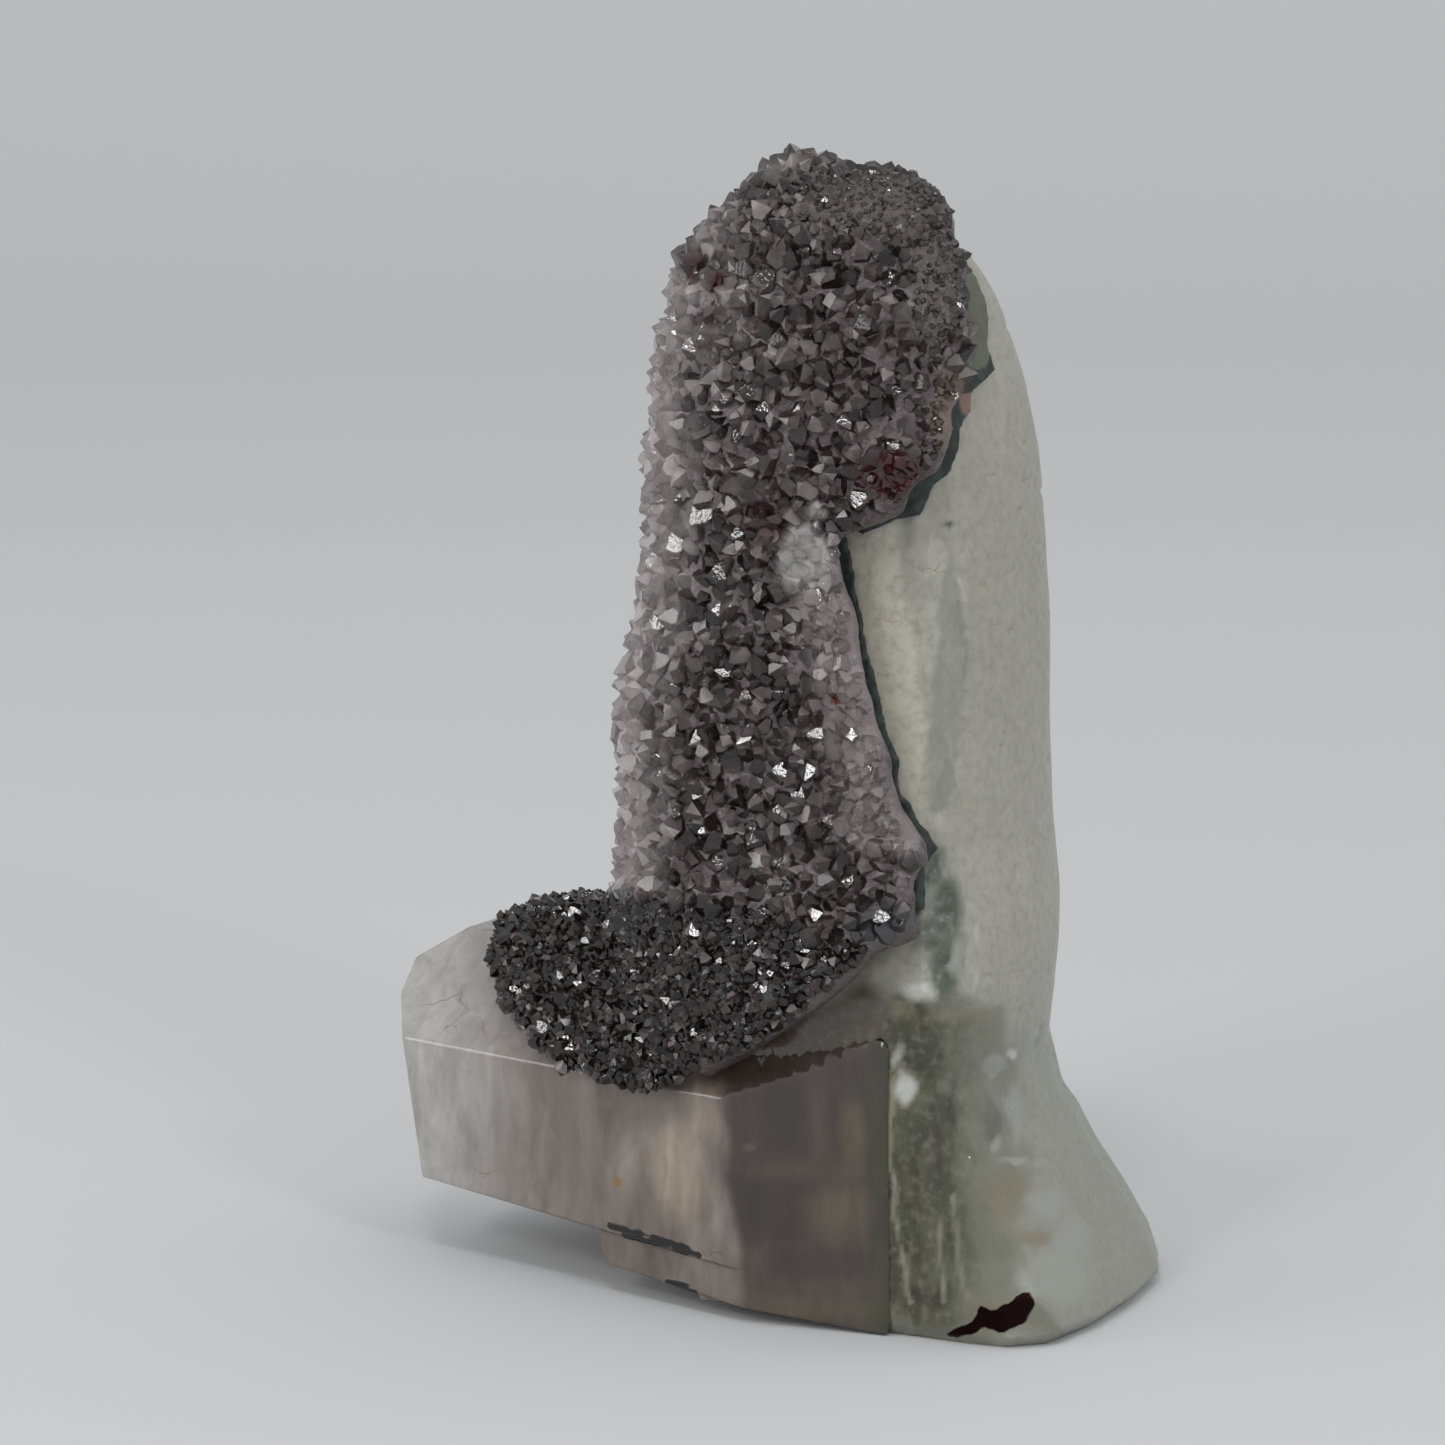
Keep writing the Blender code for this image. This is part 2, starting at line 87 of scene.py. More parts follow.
def add_node(tree, kind, settings=None, links=None):
    """Adds one node to a tree, sets its properties and unlinked inputs, and links the others."""
    node = tree.nodes.new(kind)
    for key, value in (settings or {}).items():
        if isinstance(key, int) or key in node.inputs:
            node.inputs[key].default_value = value
        else:
            setattr(node, key, value)
    for key, source in (links or {}).items():
        tree.links.new(source, node.inputs[key])
    return node


def new_material(name):
    """A material with an empty tree, and its output node."""
    made = bpy.data.materials.new(name)
    made.use_nodes = True
    made.node_tree.nodes.clear()
    return made, made.node_tree, add_node(made.node_tree, "ShaderNodeOutputMaterial")


def ramp_colours(node, stops):
    """Sets a colour ramp's stops: places and hex colours."""
    elements = node.color_ramp.elements
    while len(elements) < len(stops):
        elements.new(1.0)
    for element, (place, value) in zip(elements, stops):
        element.position = place
        element.color = linear(value)


def merged_copy(node_name, name):
    """A new object with a CAD node's mesh, its doubles merged."""
    bm = bmesh.new()
    bm.from_mesh(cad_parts[node_name].data)
    bmesh.ops.remove_doubles(bm, verts=bm.verts, dist=1e-6)
    mesh = bpy.data.meshes.new(name)
    bm.to_mesh(mesh)
    bm.free()
    obj = bpy.data.objects.new(name, mesh)
    bpy.context.scene.collection.objects.link(obj)
    return obj


def settle(obj):
    """Replaces an object's mesh by what its modifiers make of it, and removes them."""
    bpy.context.view_layer.update()
    graph = bpy.context.evaluated_depsgraph_get()
    mesh = bpy.data.meshes.new_from_object(obj.evaluated_get(graph))
    obj.modifiers.clear()
    obj.data = mesh
    return obj


def evenly_meshed(node_name, name, voxel_mm):
    """A CAD node's shape as a fine even mesh, ready for relief."""
    obj = merged_copy(node_name, name)
    remesh = obj.modifiers.new("Even", "REMESH")
    remesh.mode = "VOXEL"
    remesh.voxel_size = voxel_mm * MM
    return settle(obj)


def tree_of(node_name):
    """A nearest-point tree of a CAD node's surface."""
    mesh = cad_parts[node_name].data
    return BVHTree.FromPolygons([v.co for v in mesh.vertices], [p.vertices for p in mesh.polygons])


def places(mesh):
    found = np.empty(len(mesh.vertices) * 3)
    mesh.vertices.foreach_get("co", found)
    return found.reshape(-1, 3)


def normals(mesh):
    found = np.empty(len(mesh.vertices) * 3)
    mesh.vertex_normals.foreach_get("vector", found)
    return found.reshape(-1, 3)


def set_places(mesh, co):
    mesh.vertices.foreach_set("co", np.ascontiguousarray(co, dtype=np.float32).ravel())
    mesh.update()


def set_values(mesh, name, values, domain="POINT"):
    """Stores one number for each vertex or face under a name that the materials read."""
    attribute = mesh.attributes.get(name) or mesh.attributes.new(name, "FLOAT", domain)
    attribute.data.foreach_set("value", np.ascontiguousarray(values, dtype=np.float32))


def relax(mesh, co, free, rounds, factor=0.6):
    """Moves free vertices towards the middle of their neighbours."""
    edges = np.empty(len(mesh.edges) * 2, dtype=np.int64)
    mesh.edges.foreach_get("vertices", edges)
    a, b = edges.reshape(-1, 2).T
    count = np.bincount(a, minlength=len(co)) + np.bincount(b, minlength=len(co))
    for _ in range(rounds):
        total = np.zeros_like(co)
        for axis in range(3):
            total[:, axis] = np.bincount(a, co[b, axis], len(co)) + np.bincount(b, co[a, axis], len(co))
        co = co + (total / count[:, None] - co) * (free * factor)[:, None]
    return co


def as_seen(co):
    """x and h of each place along the sight line, in millimetres."""
    place = co - np.array(SIGHT_FROM)
    return place[:, 0] / MM, (place @ np.array(SIGHT_UP)) / MM


def wandering(co, size_mm, reach_mm):
    """Each place moved about a little by smooth noise, so that what is drawn there has an uneven edge."""
    shift = np.array([noise.noise_vector(Vector(p) / (size_mm * MM)) for p in co])
    return co + shift * reach_mm * MM


def patches(co, spots):
    """How far each place lies in soft patches seen from the front: x, h, half width, half height, strength."""
    x, h = as_seen(co)
    total = np.zeros(len(co))
    for cx, ch, rx, rh, strength in spots:
        near = np.clip(1.4 - np.hypot((x - cx) / rx, (h - ch) / rh), 0, 1)
        total = np.maximum(total, near * near * (3 - 2 * near) * strength)
    return total


def within(co, outline, soft_mm):
    """How far each place lies inside an outline as seen from the front, going from 0 to 1 over a soft edge."""
    x, h = as_seen(co)
    inside = np.zeros(len(co), dtype=bool)
    nearest = np.full(len(co), 1e9)
    for (x0, h0), (x1, h1) in zip(outline, (*outline[1:], outline[0])):
        crosses = (h0 > h) != (h1 > h)
        rise = h1 - h0 if h1 != h0 else 1e-9
        inside ^= crosses & (x < x0 + (h - h0) * (x1 - x0) / rise)
        along = ((x - x0) * (x1 - x0) + (h - h0) * (h1 - h0)) / ((x1 - x0) ** 2 + (h1 - h0) ** 2)
        along = np.clip(along, 0, 1)
        nearest = np.minimum(nearest, np.hypot(x - x0 - along * (x1 - x0), h - h0 - along * (h1 - h0)))
    signed = np.where(inside, nearest, -nearest)
    return np.clip(signed / soft_mm + 0.5, 0, 1)


def grain(co, size_mm, seed=0.0, octaves=3):
    """Fractal noise from -1 to 1 at each place."""
    shift = Vector((seed, seed * 1.7, seed * 2.3))
    return np.array([noise.fractal(Vector(p) / (size_mm * MM) + shift, 1.0, 2.0, octaves) for p in co])


def facing_front(out):
    """1 where a surface looks towards the front, 0 where it looks away."""
    return np.clip((out @ np.array(SIGHT_BACK)) * 4 + 0.8, 0, 1)


def finish_piece(obj, made_material, slot, *nodes):
    """Gives a finished piece its material and its body, and hides the CAD nodes that it stands for."""
    obj.data.materials.clear()
    obj.data.materials.append(made_material)
    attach(obj, "root")
    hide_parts(*nodes)


def frayed_edge(tree, where, size_mm, reach):
    """Fine noise around zero that makes the edges of colour zones uneven."""
    fine = add_node(tree, "ShaderNodeTexNoise", {"Scale": 1 / (size_mm * MM), "Detail": 4.0}, {"Vector": where})
    return add_node(
        tree, "ShaderNodeMath", {"operation": "MULTIPLY_ADD", 1: reach * 2, 2: -reach}, {0: fine.outputs["Fac"]}
    ).outputs["Value"]


def hairlines(tree, where, base, region, size_mm, width, colour):
    """Thin wandering cracks in one colour, where the region's stored value lets them show."""
    bend = add_node(tree, "ShaderNodeTexNoise", {"Scale": 1 / (size_mm * MM), "Detail": 2.0}, {"Vector": where})
    bent = add_node(
        tree,
        "ShaderNodeVectorMath",
        {"operation": "MULTIPLY_ADD", 1: (size_mm * MM,) * 3},
        {0: bend.outputs["Color"], 2: where},
    )
    cells = add_node(
        tree,
        "ShaderNodeTexVoronoi",
        {"feature": "DISTANCE_TO_EDGE", "Scale": 1 / (size_mm * MM)},
        {"Vector": bent.outputs["Vector"]},
    )
    line = add_node(
        tree,
        "ShaderNodeMapRange",
        {"From Min": width * 0.4, "From Max": width, "To Min": 0.5, "To Max": 0.0},
        {"Value": cells.outputs["Distance"]},
    )
    share = add_node(tree, "ShaderNodeAttribute", {"attribute_name": region})
    shown = add_node(
        tree, "ShaderNodeMath", {"operation": "MULTIPLY"}, {0: line.outputs["Result"], 1: share.outputs["Fac"]}
    )
    return add_node(
        tree, "ShaderNodeMix", {"data_type": "RGBA", 7: linear(colour)}, {0: shown.outputs["Value"], 6: base}
    ).outputs[2]


def zone_mix(tree, base, frayed, zones):
    """Lays each zone's colour over the base: its stored value with a frayed edge, crisp or soft."""
    for name, colour, soft in zones:
        share = add_node(tree, "ShaderNodeAttribute", {"attribute_name": name})
        uneven = add_node(tree, "ShaderNodeMath", {"operation": "ADD"}, {0: share.outputs["Fac"], 1: frayed})
        edge = add_node(
            tree,
            "ShaderNodeMapRange",
            {"From Min": 0.5 - soft / 2, "From Max": 0.5 + soft / 2},
            {"Value": uneven.outputs["Value"]},
        )
        base = add_node(
            tree,
            "ShaderNodeMix",
            {"data_type": "RGBA", 7: linear(colour)},
            {0: edge.outputs["Result"], 6: base},
        ).outputs[2]
    return base


# Zones of the druse as seen from the front
RIM_MAUVE = (
    (3.2, 55.4, 2.6, 4.0, 0.8),
    (4.6, 50.0, 2.8, 5.0, 1.0),
    (5.8, 44.0, 3.0, 5.0, 1.0),
    (6.4, 38.0, 3.2, 4.0, 0.8),
    (-2.0, 88.5, 4.0, 1.8, 0.6),
    (-4.6, 79.0, 3.0, 8.0, 0.45),
    (9.6, 36.0, 1.6, 2.4, 1.0),
)
WHITE_PATCH = ((1.6, 57.5, 2.2, 2.8, 1.0), (2.4, 61.2, 1.2, 1.0, 0.8))
SUGARY = (
    (7.6, 85.5, 7.0, 3.6, 1.0),
    (11.8, 79.0, 2.4, 7.0, 1.0),
    (12.2, 68.0, 2.0, 4.0, 0.9),
    (9.6, 63.2, 3.4, 1.8, 0.8),
)
# Where the druse swells or lies lower than the calcite under it, at the top
SWELLS = ((1.4, 91.0, 3.0, 2.6, 1.0), (-6.4, 83.0, 3.0, 4.0, 0.9))
HOLLOWS = ((7.2, 90.0, 3.6, 3.0, 1.0),)
TAN_PATCH = ((12.6, 69.0, 1.5, 3.2, 1.0), (3.0, 30.0, 3.0, 0.8, 0.5))
RED_PATCH = (
    (-6.9, 80.6, 1.2, 1.7, 1.0),
    (-5.2, 79.0, 1.0, 1.0, 0.9),
    (8.6, 63.8, 3.4, 2.0, 0.9),
    (-1.6, 60.6, 3.5, 1.8, 0.5),
    (-5.8, 76.4, 1.2, 1.6, 0.5),
)
RUST_SPOT = ((4.2, 46.6, 0.75, 0.4, 1.0),)
BLUE_GREY = ((8.0, 28.2, 3.6, 3.2, 1.0), (3.4, 24.2, 3.4, 1.6, 0.6), (-1.0, 42.0, 2.2, 3.0, 0.4))
# The smooth grey skirt under the apron, and the dark apron itself
BARE_SKIRT = (
    (-6.6, 17.9),
    (-2.6, 18.6),
    (1.6, 22.6),
    (5.0, 25.6),
    (7.4, 27.4),
    (10.6, 29.4),
    (10.6, 27.0),
    (5.6, 22.8),
    (0.0, 18.6),
    (-5.0, 16.4),
    (-9.0, 15.6),
)
DARK_APRON = (
    (-24.0, 33.0),
    (-14.0, 31.6),
    (-8.0, 30.4),
    (-2.0, 30.2),
    (2.0, 28.4),
    (6.6, 27.4),
    (6.6, 25.6),
    (3.4, 23.0),
    (-0.6, 20.0),
    (-6.4, 17.6),
    (-10.0, 14.4),
    (-24.0, 14.0),
)


def crust_surface(name):
    """The druse's cloudy crust: the CAD solid with its big points taken down to an even face."""
    obj = evenly_meshed("amethyst_druse", name, 0.5)
    mesh = obj.data
    co = places(mesh)
    walls = (tree_of("calcite_blade"), tree_of("calcite_prism"))
    limits = (CRUST_FACE * MM, APRON_FACE * MM)
    gaps = np.empty((len(co), 2))
    for i, place in enumerate(co):
        hits = [tree.find_nearest(place) for tree in walls]
        gaps[i] = [hit[3] for hit in hits]
        excess = [gap - limit for gap, limit in zip(gaps[i], limits)]
        k = 0 if excess[0] < excess[1] else 1
        if excess[k] > 0:
            near = hits[k][0]
            co[i] = near + (Vector(place) - near) * (limits[k] / gaps[i][k])
    free = np.clip((gaps.min(axis=1) / MM - 1.3) / 0.6, 0, 1)
    co = relax(mesh, co, free, 10)
    set_places(mesh, co)
    out = normals(mesh)
    lumps = grain(co, 7.0, 3.0) * 0.35 + grain(co, 1.4, 8.0) * 0.12 - patches(co, SUGARY) * 0.5
    lumps += (patches(co, SWELLS) - patches(co, HOLLOWS)) * 0.8
    set_places(mesh, co + out * (lumps * free * MM)[:, None])
    return obj, walls


def broken_edge(crust, walls):
    """A tree of the crust's broken edge: the places where it looks along the calcite, not away from it."""
    mesh = crust.data
    co = places(mesh)
    out = normals(mesh)
    found = []
    for place, facing in zip(co, out):
        near, _, _, gap = walls[0].find_nearest(place)
        away = (Vector(place) - near).normalized()
        if 1.6 * MM < gap < CRUST_FACE * MM * 0.8 and away.dot(Vector(facing)) < 0.5:
            found.append(place)
    tree = KDTree(len(found))
    for i, place in enumerate(found):
        tree.insert(place, i)
    tree.balance()
    return tree


def seed_points(crust, walls, settings):
    """Spreads quartz points over the crust: place, outward direction and radius, for column and apron."""
    rng = random.Random(settings.seed)
    mesh = crust.data
    mesh.calc_loop_triangles()
    triangles = mesh.loop_triangles
    corner = [v.co for v in mesh.vertices]
    out = mesh.vertex_normals
    areas = np.array([t.area for t in triangles])
    tries = int(areas.sum() / MM**2 * settings.tries)
    chosen = rng.choices(range(len(triangles)), weights=areas.tolist(), k=tries)
    spots = np.empty((tries, 3))
    facing = np.empty((tries, 3))
    for i, index in enumerate(chosen):
        a, b, c = triangles[index].vertices
        u, v = rng.random(), rng.random()
        if u + v > 1:
            u, v = 1 - u, 1 - v
        spots[i] = corner[a] * (1 - u - v) + corner[b] * u + corner[c] * v
        facing[i] = out[a].vector + out[b].vector + out[c].vector
    front = facing[:, 1] < 0
    sugary = patches(spots, SUGARY) * front
    rim = patches(spots, RIM_MAUVE) * front
    left = np.clip(-facing[:, 0] / np.linalg.norm(facing, axis=1) * 3 - 1.5, 0, 1)
    bare = within(spots, BARE_SKIRT, 1.0) * front
    dark = within(spots, DARK_APRON, 1.0) * front
    edge = broken_edge(crust, walls)
    column, apron = [], []
    cell = 3.2 * MM
    grid = {}
    for i in range(tries):
        place = Vector(spots[i])
        from_blade, from_prism = (tree.find_nearest(place)[3] / MM for tree in walls)
        if from_blade < 2.2 or from_prism < 1.2 or bare[i] > 0.5 or rng.random() < sugary[i] * 0.9 - 0.3:
            continue
        on_apron = dark[i] > 0.5 or (from_prism < APRON_FACE + 0.35 and from_blade > 2.2)
        if on_apron:
            radius = rng.triangular(settings.apron_small, settings.apron_large, settings.apron_small)
        else:
            radius = rng.triangular(settings.point_small, settings.point_large)
            radius *= 1 - 0.7 * sugary[i] - 0.15 * rim[i] + 0.25 * left[i]
        radius *= MM
        if edge.find(place)[2] < radius * 0.9 + 0.3 * MM:
            continue
        key = tuple(int(math.floor(x / cell)) for x in place)
        near = (
            other
            for dx in (-1, 0, 1)
            for dy in (-1, 0, 1)
            for dz in (-1, 0, 1)
            for other in grid.get((key[0] + dx, key[1] + dy, key[2] + dz), ())
        )
        crowding = settings.crowding * (1 + 0.1 * sugary[i])
        if any((other[0] - place).length < crowding * (other[2] + radius) for other in near):
            continue
        tilt = Vector([rng.gauss(0, settings.tilt) for _ in range(3)])
        seed = (place, (Vector(facing[i]).normalized() + tilt).normalized(), radius)
        grid.setdefault(key, []).append(seed)
        (apron if on_apron else column).append(seed)
    return column, apron


def turn_of_point(outward, rng, glints):
    """How a point is turned: its axis outward, or so that one face mirrors a lamp to the front."""
    if rng.random() < glints:
        lamp = rng.choice(LAMPS[1:])[1].normalized()
        half = (lamp + SIGHT_BACK).normalized()
        axis = Matrix.Rotation(FACE_LEAN, 3, half.cross(outward).normalized()) @ half
        if axis.angle(outward) < math.radians(38):
            across = (half - axis * half.dot(axis)).normalized()
            return Matrix((across, axis.cross(across), axis)).transposed(), True
    turn = outward.to_track_quat("Z", "Y").to_matrix()
    return turn @ Matrix.Rotation(rng.uniform(0, math.tau), 3, "Z"), False


def point_shapes(rng, count):
    """A few quartz points of unit radius, each a short prism under an uneven six sided pyramid."""
    shapes = bpy.data.collections.new("quartz_point_shapes")
    lean = 1 / math.tan(FACE_LEAN)
    for number in range(count):
        bm = bmesh.new()
        bmesh.ops.create_cube(bm, size=6.0)
        planes = []
        for i in range(6):
            angle = i * math.pi / 3
            flat = Vector((math.cos(angle), math.sin(angle), 0))
            planes.append((flat * rng.uniform(0.62, 0.9), flat))
            tip = 0.85 + rng.uniform(-0.16, 0.20) + (0.22 if i % 2 else 0.0)
            planes.append((Vector((0, 0, tip)), (flat + Vector((0, 0, lean))).normalized()))
        planes.append((Vector((0, 0, -POINT_ROOT)), Vector((0, 0, -1))))
        for place, normal in planes:
            cut = bmesh.ops.bisect_plane(
                bm,
                geom=bm.verts[:] + bm.edges[:] + bm.faces[:],
                plane_co=place,
                plane_no=normal,
                clear_outer=True,
            )
            rim = [e for e in cut["geom_cut"] if isinstance(e, bmesh.types.BMEdge)]
            if rim:
                bmesh.ops.edgeloop_fill(bm, edges=rim)
        bmesh.ops.recalc_face_normals(bm, faces=bm.faces)
        mesh = bpy.data.meshes.new(f"quartz_point_{number}")
        bm.to_mesh(mesh)
        bm.free()
        shapes.objects.link(bpy.data.objects.new(mesh.name, mesh))
    return shapes


def points_tree():
    """Geometry Nodes that stand a quartz point on each vertex, turned and sized by its attributes."""
    tree = bpy.data.node_groups.new("quartz_points_on_seeds", "GeometryNodeTree")
    face = tree.interface
    face.new_socket("Geometry", in_out="INPUT", socket_type="NodeSocketGeometry")
    face.new_socket("Shapes", in_out="INPUT", socket_type="NodeSocketCollection")
    face.new_socket("Finish", in_out="INPUT", socket_type="NodeSocketMaterial")
    face.new_socket("Geometry", in_out="OUTPUT", socket_type="NodeSocketGeometry")
    start = add_node(tree, "NodeGroupInput")
    spin = add_node(tree, "GeometryNodeInputNamedAttribute", {"data_type": "FLOAT_VECTOR", "Name": "turn"})
    size = add_node(tree, "GeometryNodeInputNamedAttribute", {"data_type": "FLOAT_VECTOR", "Name": "size"})
    kind = add_node(tree, "GeometryNodeInputNamedAttribute", {"data_type": "INT", "Name": "shape"})
    shapes = add_node(
        tree,
        "GeometryNodeCollectionInfo",
        {"Separate Children": True, "Reset Children": True},
        {"Collection": start.outputs["Shapes"]},
    )
    turn = add_node(tree, "FunctionNodeEulerToRotation", None, {"Euler": spin.outputs["Attribute"]})
    stand = add_node(
        tree,
        "GeometryNodeInstanceOnPoints",
        {"Pick Instance": True},
        {
            "Points": start.outputs["Geometry"],
            "Instance": shapes.outputs["Instances"],
            "Instance Index": kind.outputs["Attribute"],
            "Rotation": turn.outputs["Rotation"],
            "Scale": size.outputs["Attribute"],
        },
    )
    real = add_node(tree, "GeometryNodeRealizeInstances", None, {"Geometry": stand.outputs["Instances"]})
    dress = add_node(
        tree,
        "GeometryNodeSetMaterial",
        None,
        {"Geometry": real.outputs["Geometry"], "Material": start.outputs["Finish"]},
    )
    add_node(tree, "NodeGroupOutput", None, {"Geometry": dress.outputs["Geometry"]})
    return tree


def grown_points(name, seeds, shapes, tree, finish, settings):
    """Grows the points by groups that don't touch, and fuses the groups into one mesh."""
    rng = random.Random(settings.seed + len(seeds))
    sockets = {item.name: item.identifier for item in tree.interface.items_tree if item.in_out == "INPUT"}
    groups = []
    for seed in seeds:
        reach = seed[2] * 1.5
        for group in groups:
            if all((seed[0] - other[0]).length > reach + other[2] * 1.5 for other in group):
                break
        else:
            group = []
            groups.append(group)
        group.append(seed)
    whole = None
    for number, group in enumerate(groups):
        mesh = bpy.data.meshes.new("seeds")
        mesh.from_pydata([seed[0] for seed in group], [], [])
        turns, sizes = [], []
        for place, outward, radius in group:
            turn, glints = turn_of_point(outward, rng, settings.glints)
            turns.extend(turn.to_euler())
            spread = (0.0, 0.0, 0.0) if glints else (0.15, 0.15, 0.2)
            sizes.extend(radius * (1 + rng.uniform(-part, part)) for part in spread)
        for key, values in (("turn", turns), ("size", sizes)):
            mesh.attributes.new(key, "FLOAT_VECTOR", "POINT").data.foreach_set("vector", values)
        kinds = [rng.randrange(SHAPE_COUNT) for _ in group]
        mesh.attributes.new("shape", "INT", "POINT").data.foreach_set("value", kinds)
        obj = bpy.data.objects.new(name if number == 0 else "group", mesh)
        bpy.context.scene.collection.objects.link(obj)
        grow = obj.modifiers.new("Grow", "NODES")
        grow.node_group = tree
        grow[sockets["Shapes"]] = shapes
        grow[sockets["Finish"]] = finish
        settle(obj)
        if whole is None:
            whole = obj
            continue
        join = whole.modifiers.new("Join", "BOOLEAN")
        join.operation = "UNION"
        join.solver = "MANIFOLD"
        join.object = obj
        settle(whole)
        bpy.data.objects.remove(obj, do_unlink=True)
    return whole


def druse_zones(mesh, walls):
    """Stores the druse's colour zones on a mesh."""
    co = places(mesh)
    front = np.clip(1.0 - (co[:, 1] - 6 * MM) / (8 * MM), 0, 1)
    moved = wandering(co, 3.0, 0.8)
    set_values(mesh, "mauve", patches(moved, RIM_MAUVE) * front)
    set_values(mesh, "white", patches(moved, WHITE_PATCH) * front)
    set_values(mesh, "sugary", patches(moved, SUGARY) * front)
    set_values(mesh, "tan", patches(moved, TAN_PATCH) * front)
    set_values(mesh, "red", patches(moved, RED_PATCH) * front)
    set_values(mesh, "rust", patches(co, RUST_SPOT) * front)
    set_values(mesh, "blue", patches(moved, BLUE_GREY) * front)
    set_values(mesh, "skirt", within(moved, BARE_SKIRT, 0.8) * front)
    near, rim = wall_shares(co, walls)
    apron = np.maximum(near, within(moved, DARK_APRON, 1.6) * front)
    set_values(mesh, "apron", apron)
    # The left rim is painted pale: painted light standing in for the light that shines through the crystals at the
    # edge
    set_values(mesh, "rim", rim * (1 - apron))


def wall_shares(co, walls):
    """How far each place belongs to the dark apron near the prism, and to the thin rim on the left, painted pale:
    painted light standing in for the light that shines through its crystals.
    """
    found = np.empty((2, len(co)))
    for i, place in enumerate(co):
        near, _, _, from_blade = walls[0].find_nearest(place)
        from_prism = walls[1].find_nearest(place)[3] / MM
        clear = min(max((from_blade / MM - 2.0) / 1.5, 0), 1)
        found[0, i] = min(max((APRON_FACE + 2.2 - from_prism) / 1.2, 0), 1) * clear
        found[1, i] = min(max(((near.x - place[0]) / max(from_blade, MM) - 0.72) / 0.25, 0), 1)
    return found


def crystal_tones(mesh, seeds, seed):
    """Stores a random tone for each quartz point, and for each face a painted light and shade set by the way it
    faces, standing in for its reflections.
    """
    rng = random.Random(seed)
    tree = KDTree(len(seeds))
    for i, (place, outward, radius) in enumerate(seeds):
        tree.insert(place + outward * radius * 0.3, i)
    tree.balance()
    tones = np.array([(rng.random(), rng.uniform(0, math.tau)) for _ in seeds])
    middles = np.empty(len(mesh.polygons) * 3)
    mesh.polygons.foreach_get("center", middles)
    facing = np.empty(len(mesh.polygons) * 3)
    mesh.polygons.foreach_get("normal", facing)
    own = tones[[tree.find(p)[1] for p in middles.reshape(-1, 3)]]
    # Painted light and shade: each face lighter or darker by the way it faces, turned at random for each point
    swing = facing.reshape(-1, 3) @ np.array((3.1, 4.3, 2.7)) + own[:, 1]
    set_values(mesh, "tone", own[:, 0], "FACE")
    set_values(mesh, "facet", 0.5 + 0.5 * np.sin(swing), "FACE")


# Colours of the quartz points from dark to milky, and of the column's zones
AMETHYST = ((0.15, "#362b2b"), (0.45, "#62544f"), (0.68, "#8b7c7a"), (0.86, "#b9aeac"), (0.98, "#f2edea"))
SMOKY = ((0.2, "#150c0c"), (0.5, "#322322"), (0.7, "#534241"), (0.85, "#8c8182"), (0.97, "#e0dddd"))
COLUMN_ZONES = (
    ("sugary", "#756a69", 0.8),
    ("mauve", "#c9bfc0", 0.7),
    # The rim's near white is painted light, standing in for light shining through the points at the left edge
    ("rim", "#ede6e5", 1.0),
    ("white", "#e6e4e3", 0.5),
    ("tan", "#94806f", 0.8),
    ("red", "#66312e", 0.6),
    ("rust", "#8a5436", 0.3),
    ("blue", "#6b686b", 0.6),
    ("apron", "#3a3233", 0.6),
)


def crust_material():
    """Massive quartz under the points, grown cloudy: dull and dark between them, partly its own colour and partly
    painted shade of the gaps, sugary where it is bare.
    """
    made, tree, output = new_material("massive_quartz_grown_cloudy")
    where = add_node(tree, "ShaderNodeTexCoord").outputs["Object"]
    coarse = add_node(tree, "ShaderNodeTexNoise", {"Scale": 1 / 0.0045, "Detail": 4.0}, {"Vector": where})
    fine = add_node(tree, "ShaderNodeTexNoise", {"Scale": 1 / 0.0005, "Detail": 3.0}, {"Vector": where})
    both = add_node(
        tree,
        "ShaderNodeMath",
        {"operation": "MULTIPLY_ADD", 1: 0.45},
        {0: fine.outputs["Fac"], 2: coarse.outputs["Fac"]},
    )
    ramp = add_node(tree, "ShaderNodeValToRGB", None, {"Fac": both.outputs["Value"]})
    # Dark stops: partly the crust's own colour and partly painted shade that makes the gaps between the points look
    # deep
    ramp_colours(ramp, ((0.45, "#281d1f"), (0.62, "#3d3033"), (0.78, "#54474a"), (0.95, "#6e6265")))
    colour = zone_mix(
        tree,
        ramp.outputs["Color"],
        frayed_edge(tree, where, 0.8, 0.22),
        (
            ("sugary", "#453c3c", 0.9),
            ("mauve", "#7b7071", 0.5),
            # The rim's pale crust is painted light, standing in for light shining through at the left edge
            ("rim", "#a2979a", 1.0),
            ("white", "#a9a6a4", 0.4),
            ("tan", "#6e5f57", 0.8),
            ("red", "#3a2220", 0.5),
            ("rust", "#6e4028", 0.2),
            ("blue", "#4a4647", 0.5),
            ("apron", "#151011", 0.5),
            ("skirt", "#4b4341", 0.6),
        ),
    )
    bump = add_node(
        tree, "ShaderNodeBump", {"Strength": 0.9, "Distance": 0.00025}, {"Height": fine.outputs["Fac"]}
    )
    shader = add_node(
        tree,
        "ShaderNodeBsdfPrincipled",
        {"Roughness": 0.24, "IOR": 1.544},
        {"Base Color": colour, "Normal": bump.outputs["Normal"]},
    )
    tree.links.new(shader.outputs["BSDF"], output.inputs["Surface"])
    return made


